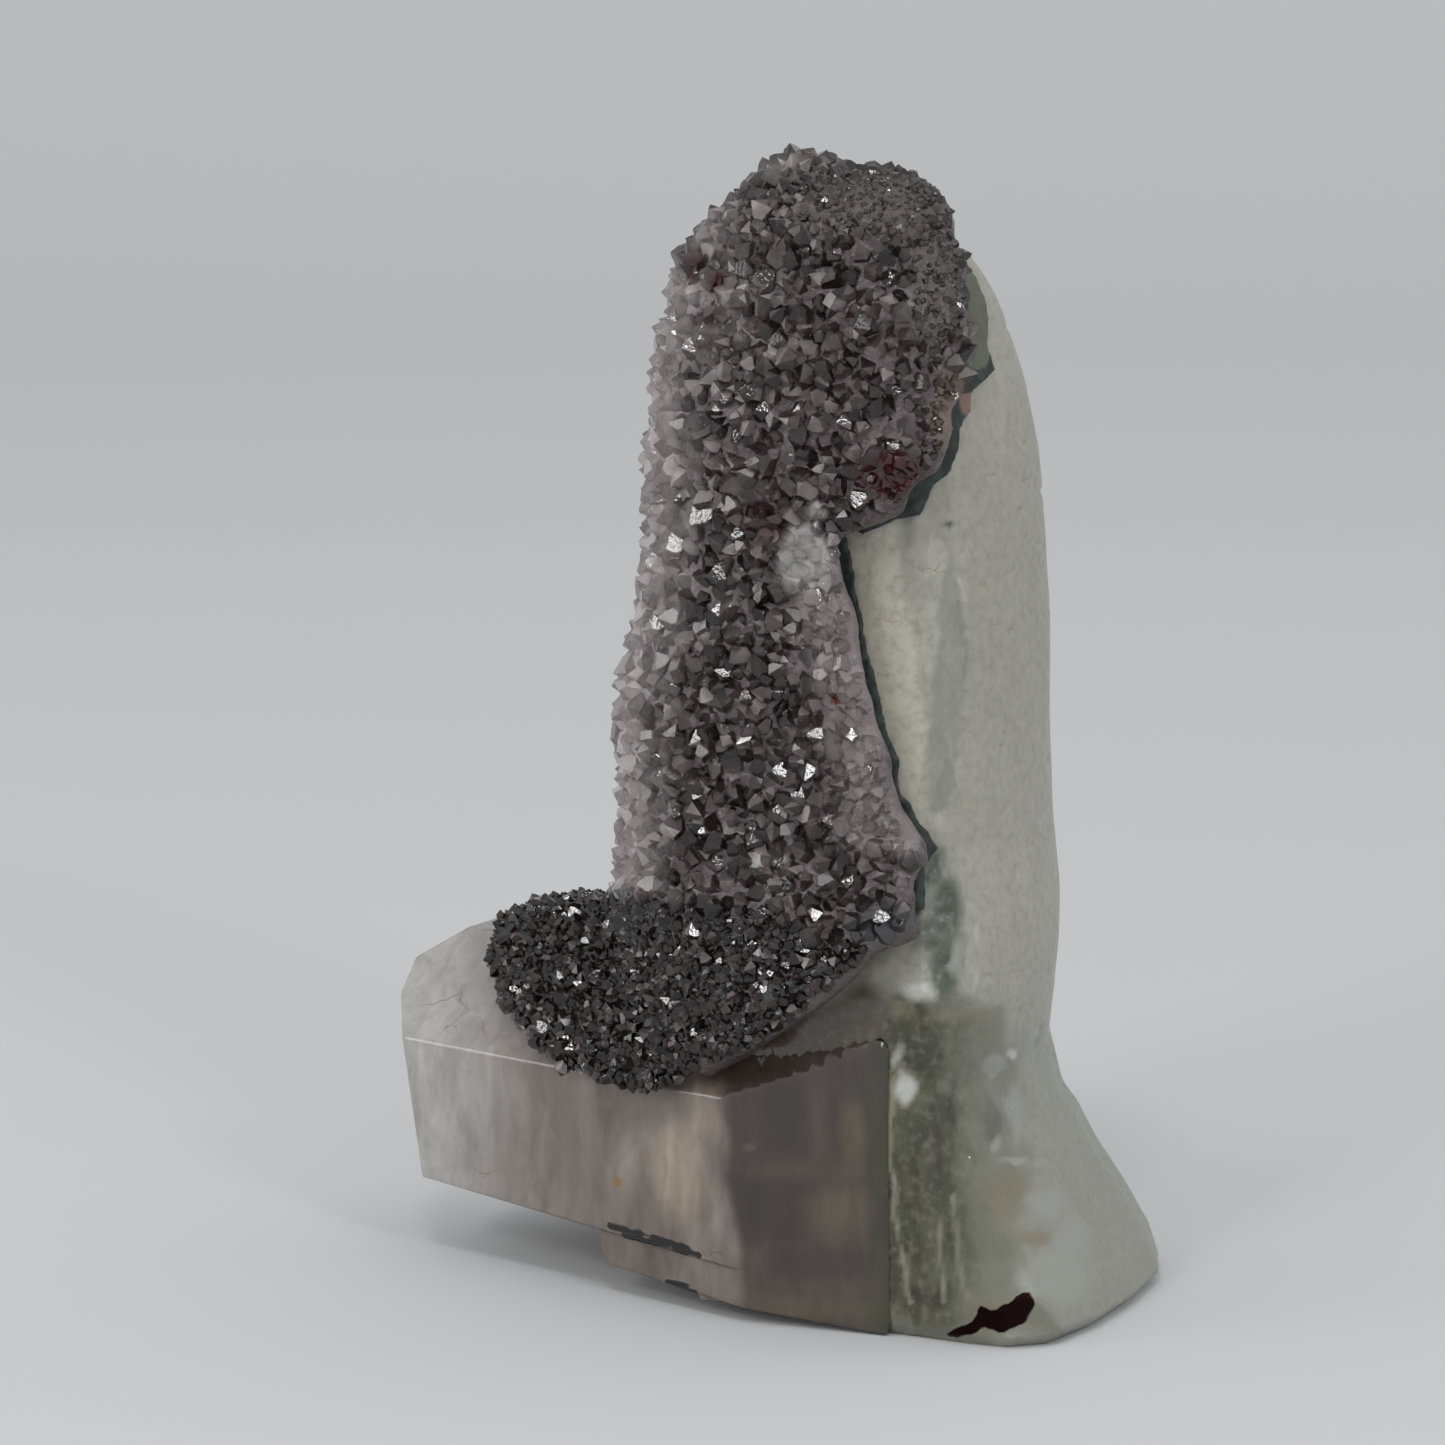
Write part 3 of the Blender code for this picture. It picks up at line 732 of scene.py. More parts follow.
def points_material(name, stops, zones, clear):
    """Quartz, faces as grown: glassy, some faces clear and dark, some milky and bright, partly by each point's
    random tone and partly by painted light and shade on each face.
    """
    made, tree, output = new_material(name)
    where = add_node(tree, "ShaderNodeTexCoord").outputs["Object"]
    tone = add_node(tree, "ShaderNodeAttribute", {"attribute_name": "tone"})
    # Painted light and shade of each face, added to the point's own tone
    facet = add_node(tree, "ShaderNodeAttribute", {"attribute_name": "facet"})
    cloud = add_node(tree, "ShaderNodeTexNoise", {"Scale": 1 / 0.0012, "Detail": 3.0}, {"Vector": where})
    own = add_node(
        tree,
        "ShaderNodeMath",
        {"operation": "MULTIPLY_ADD", 1: 0.9},
        {0: tone.outputs["Fac"], 2: facet.outputs["Fac"]},
    )
    all_three = add_node(
        tree,
        "ShaderNodeMath",
        {"operation": "MULTIPLY_ADD", 1: 0.7},
        {0: cloud.outputs["Fac"], 2: own.outputs["Value"]},
    )
    share = add_node(
        tree,
        "ShaderNodeMapRange",
        {"From Min": 0.2, "From Max": 2.4},
        {"Value": all_three.outputs["Value"]},
    ).outputs["Result"]
    ramp = add_node(tree, "ShaderNodeValToRGB", None, {"Fac": share})
    ramp_colours(ramp, stops)
    colour = zone_mix(tree, ramp.outputs["Color"], frayed_edge(tree, where, 1.2, 0.25), zones)
    polish = add_node(
        tree,
        "ShaderNodeMapRange",
        {"From Min": 0.4, "From Max": 0.7, "To Min": 0.02, "To Max": 0.14},
        {"Value": cloud.outputs["Fac"]},
    )
    depth = add_node(
        tree,
        "ShaderNodeMapRange",
        {"From Min": 0.3, "From Max": 0.95, "To Min": clear, "To Max": clear * 0.6},
        {"Value": share},
    )
    pits = add_node(tree, "ShaderNodeTexNoise", {"Scale": 1 / 0.0003, "Detail": 2.0}, {"Vector": where})
    bump = add_node(
        tree, "ShaderNodeBump", {"Strength": 0.35, "Distance": 0.00006}, {"Height": pits.outputs["Fac"]}
    )
    shader = add_node(
        tree,
        "ShaderNodeBsdfPrincipled",
        {"IOR": 1.544},
        {
            "Base Color": colour,
            "Roughness": polish.outputs["Result"],
            "Transmission Weight": depth.outputs["Result"],
            "Normal": bump.outputs["Normal"],
        },
    )
    tree.links.new(shader.outputs["BSDF"], output.inputs["Surface"])
    return made


# Zones of the calcite blade as seen from the front
INNER_FACE = (
    (3.4, 60.6),
    (9.6, 61.4),
    (9.6, 56.0),
    (11.0, 50.0),
    (12.0, 40.0),
    (12.0, 34.0),
    (8.0, 34.0),
    (2.0, 50.0),
)
FRACTURED_RIDGE = (
    (9.2, 61.2),
    (12.0, 64.6),
    (14.4, 64.6),
    (15.0, 59.0),
    (15.4, 52.0),
    (14.6, 42.0),
    (13.4, 36.0),
    (14.4, 28.0),
    (13.4, 22.0),
    (10.8, 24.0),
    (11.4, 36.0),
    (11.4, 42.0),
    (10.6, 50.0),
    (9.6, 55.0),
)
GREY_FLAW = (
    (13.0, 58.4),
    (13.8, 56.0),
    (14.8, 50.0),
    (14.4, 44.0),
    (13.0, 38.0),
    (11.6, 38.0),
    (11.6, 44.0),
    (12.2, 52.0),
)
GREEN_STAIN = (
    (11.6, 33.4, 1.6, 1.6, 1.0),
    (10.6, 31.0, 1.1, 1.9, 1.0),
    (13.0, 30.4, 1.4, 3.0, 1.0),
    (12.4, 28.2, 2.0, 2.2, 0.9),
    (12.9, 25.8, 1.4, 2.8, 1.0),
    (13.1, 60.0, 0.35, 0.35, 1.0),
)
STAIN_HEART = ((11.3, 31.5, 0.8, 0.8, 1.0),)
BROWN_SIDE = (
    (-6.0, 17.4),
    (-2.6, 19.0),
    (6.6, 24.8),
    (9.0, 22.8),
    (8.0, 19.0),
    (7.6, 10.0),
    (5.0, 10.0),
    (-4.0, 15.0),
)
FOOT = ((6.0, 25.0), (19.0, 22.0), (34.0, 14.0), (34.0, -8.0), (6.0, -8.0))
CLEAR_FOOT = (
    (6.0, 22.6),
    (9.0, 24.4),
    (13.0, 22.8),
    (16.4, 21.6),
    (18.4, 18.0),
    (17.6, 14.0),
    (18.8, 9.4),
    (16.8, 5.6),
    (18.6, 1.6),
    (22.0, -3.0),
    (-8.0, -4.0),
    (-8.0, 22.0),
)
OLIVE_VEILS = (
    (12.6, 14.5, 1.3, 1.2, 1.0),
    (10.9, 13.6, 1.6, 0.8, 0.8),
    (12.0, 18.6, 0.8, 3.0, 0.8),
    (12.7, 9.4, 0.9, 4.6, 0.9),
    (10.2, 19.6, 1.4, 1.4, 0.6),
    (9.8, 11.6, 1.2, 2.4, 0.5),
    (13.6, 5.0, 1.3, 3.4, 0.6),
    (16.6, 13.6, 0.7, 2.4, 0.5),
    (10.2, 5.6, 0.6, 2.0, 0.6),
)
TAN_CLEAR = (
    (17.8, 7.4, 2.0, 2.6, 0.8),
    (20.0, 4.4, 1.6, 0.7, 0.8),
    (14.2, 21.9, 3.0, 0.6, 0.8),
    (8.6, 22.4, 1.8, 0.8, 0.9),
    (17.0, -1.6, 3.0, 1.6, 0.6),
)
FROSTED = (
    (21.2, 7.0, 2.0, 1.2, 1.0),
    (23.0, 4.0, 1.6, 2.0, 0.9),
    (21.6, 1.0, 3.4, 2.2, 1.0),
    (17.0, 11.6, 0.5, 0.9, 0.9),
    (18.4, 10.1, 1.3, 0.45, 1.0),
    (20.6, 9.6, 1.2, 0.4, 0.9),
    (18.6, 14.0, 0.9, 2.6, 0.8),
    (16.8, 17.8, 1.2, 0.8, 0.7),
    (13.9, 26.2, 0.7, 1.8, 0.8),
)
WHITE_FLAWS = (
    (9.8, 16.2, 0.8, 1.4, 1.0),
    (9.2, 18.6, 0.5, 1.2, 0.6),
    (10.9, 23.7, 1.3, 0.9, 0.8),
    (18.4, 18.5, 0.5, 0.4, 0.9),
    (15.5, 28.4, 0.3, 0.8, 0.5),
    (15.0, 24.6, 0.3, 0.7, 0.5),
)
DARK_STREAKS = (
    (12.2, 12.0, 0.25, 5.0, 0.8),
    (13.5, 14.4, 0.3, 2.0, 0.9),
    (13.4, 6.4, 0.22, 4.0, 0.7),
    (9.0, 19.8, 0.5, 0.8, 0.7),
    (10.4, -0.4, 1.6, 0.9, 0.9),
    (12.6, -0.2, 1.0, 1.2, 0.9),
    (10.3, 7.0, 0.5, 0.35, 0.8),
)
LIGHT_GRAINS = (
    ((8.8, 9.4), (9.2, 5.0), (10.2, -0.8)),
    ((12.3, 5.6), (12.6, 2.0), (12.9, -0.6)),
    ((13.4, 8.0), (13.9, 3.0), (14.6, -0.4)),
    ((8.6, 9.6), (8.8, 17.0)),
)
HAIRS = ((8.4, 53.4, 0.8, 1.6, 1.0), (11.4, 56.6, 1.8, 0.9, 1.0), (8.4, 48.6, 0.6, 1.4, 0.8))
HEMATITE = (
    (12.8, -3.4),
    (14.6, -2.2),
    (15.8, -1.0),
    (16.8, -1.1),
    (17.8, -0.5),
    (19.4, 0.4),
    (19.9, -0.8),
    (19.0, -2.2),
    (17.4, -3.0),
    (16.0, -2.6),
    (14.6, -3.4),
)


def along_lines(co, lines, width_mm):
    """How near each place is to thin lines seen from the front, from 0 to 1."""
    x, h = as_seen(co)
    nearest = np.full(len(co), 1e9)
    for line in lines:
        for (x0, h0), (x1, h1) in zip(line, line[1:]):
            along = ((x - x0) * (x1 - x0) + (h - h0) * (h1 - h0)) / ((x1 - x0) ** 2 + (h1 - h0) ** 2)
            along = np.clip(along, 0, 1)
            nearest = np.minimum(nearest, np.hypot(x - x0 - along * (x1 - x0), h - h0 - along * (h1 - h0)))
    return np.clip(1.5 - nearest / width_mm, 0, 1)


def terraces(values, steps):
    """Noise values gathered into flat steps with steep risers, as cleavage leaves them."""
    scaled = values * steps
    whole = np.floor(scaled)
    rest = np.clip((scaled - whole - 0.35) / 0.3, 0, 1)
    return (whole + rest * rest * (3 - 2 * rest)) / steps


def blade_surface(name):
    """The calcite blade: CAD shape with a fractured ridge, chipped edge and torn back, and its zones."""
    obj = evenly_meshed("calcite_blade", name, 0.36)
    mesh = obj.data
    co = places(mesh)
    out = normals(mesh)
    front = facing_front(out)
    even = np.clip(out[:, 1] * 3, 0, 1) + np.clip(out[:, 0] * 3 - 1.4, 0, 1) * (co[:, 2] > 24 * MM)
    even = np.clip(even + within(co, INNER_FACE, 2.0) * front, 0, 1) * np.clip(co[:, 2] / MM - 1, 0, 1)
    co = relax(mesh, co, even, 24)
    moved = wandering(co, 4.0, 0.6)
    ridge = within(moved, FRACTURED_RIDGE, 0.8) * front
    flaw = within(wandering(co, 1.6, 0.4), GREY_FLAW, 0.4) * front
    frost = patches(wandering(co, 2.0, 0.8), FROSTED) * front
    height = co[:, 2] / MM
    standing = np.clip((height - 0.8) / 2.0, 0, 1)
    back = np.clip(-(out @ np.array(SIGHT_BACK)) * 3, 0, 1)
    slanted = co @ np.array(((1.0, 0.0, 0.5), (0.0, 1.0, 0.0), (-0.7, 0.0, 1.0)))
    steps = terraces(grain(slanted, 2.6, 5.0, 2), 6) * 0.3
    splinters = terraces(grain(slanted * np.array((1.6, 1.0, 0.8)), 1.2, 9.0, 2), 3) * 0.14
    edge = np.clip((out[:, 0] - 0.55) / 0.3, 0, 1) * np.clip((height - 12) / 6, 0, 1)
    nicks = np.clip(grain(co * np.array((0.4, 0.4, 1.0)), 1.1, 12.0, 2) - 0.36, 0, 0.3) * 0.6
    relief = -np.clip(steps + splinters + 0.12, 0, 1) * np.maximum(ridge * (1 - flaw), back * 0.35) * 0.7
    relief -= flaw * 0.12
    relief -= nicks * edge
    relief -= np.clip(terraces(grain(co, 2.6, 21.0, 2), 4), 0, 1) * np.clip(frost * 2, 0, 1) * 0.1
    near_prism = tree_of("calcite_prism")
    gap = np.array([near_prism.find_nearest(p)[3] for p in co]) / MM
    closed = np.clip(1.6 - gap, 0, 1)
    x, h = as_seen(co)
    hidden = np.clip(8 - x, 0, 1) * np.clip((17.8 - h) * 2, 0, 1) * front
    relief = relief * (1 - closed) + closed * (0.1 + 0.25 * hidden)
    set_places(mesh, co + out * (relief * standing * MM)[:, None])
    set_values(mesh, "ridge", ridge)
    set_values(mesh, "flaw", flaw)
    # The inner face is painted lighter in the material: its cream partly its own colour and partly painted light
    # offsetting the druse's shade
    set_values(mesh, "inner", within(moved, INNER_FACE, 0.8) * front)
    clear = within(wandering(co, 3.0, 1.2), CLEAR_FOOT, 2.4) * front
    set_values(mesh, "clear", clear)
    set_values(mesh, "lit", np.clip((as_seen(wandering(co, 2.0, 1.2))[0] - 11) / 6, 0, 1) * clear)
    set_values(mesh, "grain", along_lines(wandering(co, 1.5, 0.2), LIGHT_GRAINS, 0.18) * front)
    set_values(mesh, "brown", within(wandering(co, 2.0, 0.4), BROWN_SIDE, 1.4) * front)
    set_values(mesh, "olive", patches(wandering(co, 2.0, 0.8), OLIVE_VEILS) * front)
    set_values(mesh, "streak", patches(wandering(co, 1.5, 0.5), DARK_STREAKS) * front)
    set_values(mesh, "stain", patches(moved, GREEN_STAIN) * front)
    set_values(mesh, "heart", patches(moved, STAIN_HEART) * front)
    set_values(mesh, "tan", patches(moved, TAN_CLEAR) * front)
    set_values(mesh, "frost", frost)
    set_values(mesh, "white", patches(wandering(co, 1.5, 0.6), WHITE_FLAWS) * front)
    set_values(mesh, "hair", patches(co, HAIRS) * front)
    set_values(mesh, "foot", within(moved, FOOT, 6.0) * front)
    set_values(mesh, "iron", within(wandering(co, 0.9, 0.35), HEMATITE, 0.8) * front)
    mesh.shade_smooth()
    mesh.set_sharp_from_angle(angle=math.radians(32))
    return obj


def blade_material():
    """Calcite with naturally etched and torn faces: waxy and cloudy above, clear and green in the foot."""
    made, tree, output = new_material("cloudy_calcite_etched")
    where = add_node(tree, "ShaderNodeTexCoord").outputs["Object"]
    stretched = add_node(tree, "ShaderNodeMapping", {"Scale": (1.0, 1.0, 0.3)}, {"Vector": where})
    veils = add_node(
        tree,
        "ShaderNodeTexNoise",
        {"Scale": 1 / 0.006, "Detail": 5.0, "Distortion": 0.8},
        {"Vector": stretched.outputs["Vector"]},
    )
    waxy = add_node(tree, "ShaderNodeValToRGB", None, {"Fac": veils.outputs["Fac"]})
    ramp_colours(waxy, ((0.3, "#a9a89c"), (0.5, "#adaca0"), (0.7, "#b1b0a6")))
    streaks = add_node(
        tree,
        "ShaderNodeTexNoise",
        {"Scale": 1 / 0.0026, "Detail": 6.0, "Distortion": 1.6},
        {"Vector": stretched.outputs["Vector"]},
    )
    deep = add_node(tree, "ShaderNodeValToRGB", None, {"Fac": streaks.outputs["Fac"]})
    ramp_colours(deep, ((0.34, "#2e2e1c"), (0.48, "#434329"), (0.6, "#57573f"), (0.74, "#72725d")))
    fibres = add_node(tree, "ShaderNodeMapping", {"Scale": (1.0, 1.0, 0.12)}, {"Vector": where})
    threads = add_node(
        tree, "ShaderNodeTexNoise", {"Scale": 1 / 0.0005, "Detail": 2.0}, {"Vector": fibres.outputs["Vector"]}
    )
    clear = add_node(tree, "ShaderNodeAttribute", {"attribute_name": "clear"})
    frayed = frayed_edge(tree, where, 0.7, 0.2)
    # The inner face's cream is partly its own colour and partly painted light that offsets the shade the druse
    # casts on it
    upper = zone_mix(
        tree,
        waxy.outputs["Color"],
        frayed,
        (("foot", "#9c9d93", 0.7), ("inner", "#c9c4b5", 0.8), ("ridge", "#b0afa4", 0.8), ("flaw", "#9b9c92", 0.8)),
    )
    cleaved = add_node(
        tree,
        "ShaderNodeMapping",
        {"Rotation": (0.0, math.radians(35), 0.0), "Scale": (1.0, 1.0, 0.45)},
        {"Vector": where},
    )
    steps = add_node(
        tree,
        "ShaderNodeTexVoronoi",
        {"Scale": 1 / 0.0014, "distance": "CHEBYCHEV"},
        {"Vector": cleaved.outputs["Vector"]},
    )
    torn = add_node(tree, "ShaderNodeAttribute", {"attribute_name": "ridge"})
    shard = add_node(
        tree, "ShaderNodeMapRange", {"To Min": -0.16, "To Max": 0.14}, {"Value": steps.outputs["Color"]}
    )
    # Painted light and shade: the ridge's shards made lighter or darker, standing in for its broken faces catching
    # the light
    painted_shard_shade = add_node(
        tree,
        "ShaderNodeMath",
        {"operation": "MULTIPLY_ADD", 2: 1.0},
        {0: shard.outputs["Result"], 1: torn.outputs["Fac"]},
    )
    upper = add_node(
        tree, "ShaderNodeVectorMath", {"operation": "SCALE"}, {0: upper, "Scale": painted_shard_shade.outputs["Value"]}
    ).outputs["Vector"]
    body = add_node(
        tree,
        "ShaderNodeMix",
        {"data_type": "RGBA"},
        {0: clear.outputs["Fac"], 6: upper, 7: deep.outputs["Color"]},
    )
    colour = zone_mix(
        tree,
        body.outputs[2],
        frayed,
        (
            ("lit", "#8a8b7b", 1.0),
            ("olive", "#383a25", 1.2),
            ("tan", "#857a65", 1.0),
            ("stain", "#3b4a39", 0.9),
            ("heart", "#848b80", 0.8),
            ("brown", "#544940", 0.9),
            ("frost", "#9ea098", 0.7),
            ("streak", "#2c2a1a", 1.0),
            ("grain", "#8a8a74", 1.2),
            ("white", "#c9c9c2", 1.0),
            ("iron", "#1e1210", 0.14),
        ),
    )
    colour = hairlines(tree, where, colour, "hair", 3.0, 0.022, "#7d6a44")
    shade = add_node(
        tree,
        "ShaderNodeMapRange",
        {"From Min": 0.3, "From Max": 0.7, "To Min": 0.985, "To Max": 1.01},
        {"Value": threads.outputs["Fac"]},
    )
    colour = add_node(
        tree, "ShaderNodeVectorMath", {"operation": "SCALE"}, {0: colour, "Scale": shade.outputs["Result"]}
    ).outputs["Vector"]
    specks = add_node(tree, "ShaderNodeTexNoise", {"Scale": 1 / 0.00045, "Detail": 3.0}, {"Vector": where})
    iron = add_node(tree, "ShaderNodeAttribute", {"attribute_name": "iron"})
    metal = add_node(
        tree, "ShaderNodeMapRange", {"From Min": 0.4, "From Max": 0.6}, {"Value": iron.outputs["Fac"]}
    )
    ledges = add_node(
        tree,
        "ShaderNodeMath",
        {"operation": "MULTIPLY"},
        {0: steps.outputs["Color"], 1: torn.outputs["Fac"]},
    )
    height = add_node(
        tree,
        "ShaderNodeMath",
        {"operation": "MULTIPLY_ADD", 1: 0.018},
        {0: specks.outputs["Fac"], 2: ledges.outputs["Value"]},
    )
    rough = add_node(
        tree,
        "ShaderNodeMapRange",
        {"From Min": 0.3, "From Max": 0.7, "To Min": 0.30, "To Max": 0.50},
        {"Value": specks.outputs["Fac"]},
    )
    polish = add_node(
        tree,
        "ShaderNodeMix",
        {"data_type": "FLOAT", 3: 0.12},
        {0: clear.outputs["Fac"], 2: rough.outputs["Result"]},
    )
    depth = add_node(
        tree,
        "ShaderNodeMapRange",
        {"From Min": 0.0, "From Max": 1.0, "To Min": 0.1, "To Max": 0.22},
        {"Value": clear.outputs["Fac"]},
    )
    bump = add_node(
        tree, "ShaderNodeBump", {"Strength": 0.6, "Distance": 0.0005}, {"Height": height.outputs["Value"]}
    )
    shader = add_node(
        tree,
        "ShaderNodeBsdfPrincipled",
        {
            "IOR": 1.6,
            "Subsurface Weight": 0.35,
            "Subsurface Radius": (1.0, 1.05, 0.85),
            "Subsurface Scale": 0.0014,
        },
        {
            "Base Color": colour,
            "Roughness": polish.outputs[0],
            "Metallic": metal.outputs["Result"],
            "Transmission Weight": depth.outputs["Result"],
            "Normal": bump.outputs["Normal"],
        },
    )
    tree.links.new(shader.outputs["BSDF"], output.inputs["Surface"])
    return made


# Zones of the calcite prism as seen from the front
DARK_END = (
    (-4.4, 8.8),
    (-4.4, 18.8),
    (0.0, 20.0),
    (12.0, 26.0),
    (12.0, -4.0),
    (-3.4, -2.6),
    (-3.2, 3.0),
)
DARK_RHOMBS = (
    ((-4.2, 16.4), (1.8, 17.8), (2.6, 10.6), (-3.4, 9.2)),
    ((-4.0, 9.2), (2.6, 8.8), (2.2, 3.8), (-3.0, 3.4)),
    ((-1.0, 3.6), (8.0, 3.4), (8.6, 0.8), (-0.6, 1.0)),
    ((3.0, 18.6), (8.8, 19.6), (8.8, 9.4), (4.4, 10.4)),
)
DARKEST_RHOMBS = (
    ((-3.8, 8.8), (2.2, 8.0), (1.2, 4.2), (-2.8, 4.2)),
    ((-1.6, 15.4), (1.6, 16.0), (1.8, 11.4), (-1.2, 11.0)),
    ((6.8, 9.0), (9.0, 9.0), (9.0, 3.0), (7.4, 3.4)),
)
TAN_DEPTH = ((-8.0, 9.0, 2.0, 4.0, 1.0), (-6.0, 14.0, 1.4, 2.4, 0.6))
LIGHT_VEILS = (
    (4.6, 6.6, 2.6, 2.0, 0.9),
    (5.6, 12.6, 1.2, 3.4, 0.8),
    (-2.6, 11.2, 0.5, 0.3, 1.0),
    (2.4, -1.6, 6.0, 1.2, 0.7),
)
NEEDLES = (
    ((-13.6, 4.4), (-12.2, 4.15), (-11.0, 3.9)),
    ((-12.4, 3.7), (-10.6, 3.35), (-9.2, 3.15)),
    ((-10.2, 3.75), (-8.6, 3.3), (-7.4, 3.0)),
    ((-8.4, 2.85), (-6.4, 2.5)),
    ((-9.8, -0.1), (-8.2, -0.35), (-6.7, -0.6)),
    ((-9.0, 0.1), (-7.4, -0.1)),
)
BROWN_HAIRS = (
    (-27.2, 22.2, 2.4, 1.2, 1.0),
    (-25.6, 20.4, 3.0, 1.0, 0.8),
    (-5.6, 2.8, 1.4, 0.4, 1.0),
    (-24.0, 9.0, 0.8, 1.2, 0.8),
)
YELLOW_SPOT = ((-13.0, 8.1, 0.5, 0.35, 1.0),)


def prism_surface(name):
    """The calcite prism: CAD shape with worn edges, cut fine enough at the front to carry its zones."""
    obj = merged_copy("calcite_prism", name)
    near_blade = tree_of("calcite_blade")
    bm = bmesh.new()
    bm.from_mesh(obj.data)
    worn = [
        e
        for e in bm.edges
        if e.calc_face_angle(0) > math.radians(12)
        and min(near_blade.find_nearest(v.co)[3] for v in e.verts) > 0.6 * MM
    ]
    bmesh.ops.bevel(bm, geom=worn, offset=0.18 * MM, segments=2, profile=0.5, affect="EDGES", clamp_overlap=True)
    cuts = [(x, (1, 0, 0)) for x in (*np.arange(-30, -18, 1.5), *np.arange(-18, 8.6, 0.36))]
    cuts += [(z, (0, 0, 1)) for z in (*np.arange(0.5, 6, 0.22), *np.arange(6, 27, 0.5))]
    for at, across in cuts:
        bmesh.ops.bisect_plane(
            bm,
            geom=bm.verts[:] + bm.edges[:] + bm.faces[:],
            dist=1e-6,
            plane_co=Vector(across) * float(at) * MM,
            plane_no=across,
        )
    bmesh.ops.triangulate(bm, faces=bm.faces)
    bm.to_mesh(obj.data)
    bm.free()
    mesh = obj.data
    co = places(mesh)
    out = normals(mesh)
    front = facing_front(out)
    reach = co.copy()
    for i, place in enumerate(co):
        near, _, _, gap = near_blade.find_nearest(place)
        towards = (near - Vector(place)) / max(gap, 1e-9)
        share = min(max((1 - gap / MM) / 0.6, 0), 1) * min(max(towards.dot(Vector(out[i])) * 2, 0), 1)
        reach[i] += np.array(towards) * (gap + 0.12 * MM) * share
    reach[:, 2] = np.maximum(reach[:, 2], 0)
    set_places(mesh, reach)
    moved = wandering(co, 5.0, 0.8)
    set_values(mesh, "dark_end", within(wandering(co, 3.0, 0.5), DARK_END, 2.0) * front)
    moved_little = wandering(co, 1.6, 0.3)
    rhombs = np.max([within(moved_little, outline, 1.3) for outline in DARK_RHOMBS], axis=0)
    darkest = np.max([within(moved_little, outline, 1.6) for outline in DARKEST_RHOMBS], axis=0)
    set_values(mesh, "rhombs", rhombs * front)
    set_values(mesh, "darkest", darkest * front)
    set_values(mesh, "pale", np.clip((-18.5 - as_seen(moved)[0]) / 10, 0, 1))
    set_values(mesh, "tan", patches(moved, TAN_DEPTH) * front)
    set_values(mesh, "side", np.clip((as_seen(wandering(co, 3.0, 1.0))[0] - 6.2) / 2.4, 0, 1) * front)
    set_values(mesh, "light", patches(wandering(co, 2.0, 0.6), LIGHT_VEILS) * front)
    set_values(mesh, "needles", along_lines(wandering(co, 0.6, 0.12), NEEDLES, 0.24) * front)
    set_values(mesh, "hairs", patches(co, BROWN_HAIRS) * front)
    set_values(mesh, "yellow", patches(co, YELLOW_SPOT) * front)
    mesh.shade_smooth()
    mesh.set_sharp_from_angle(angle=math.radians(25))
    return obj


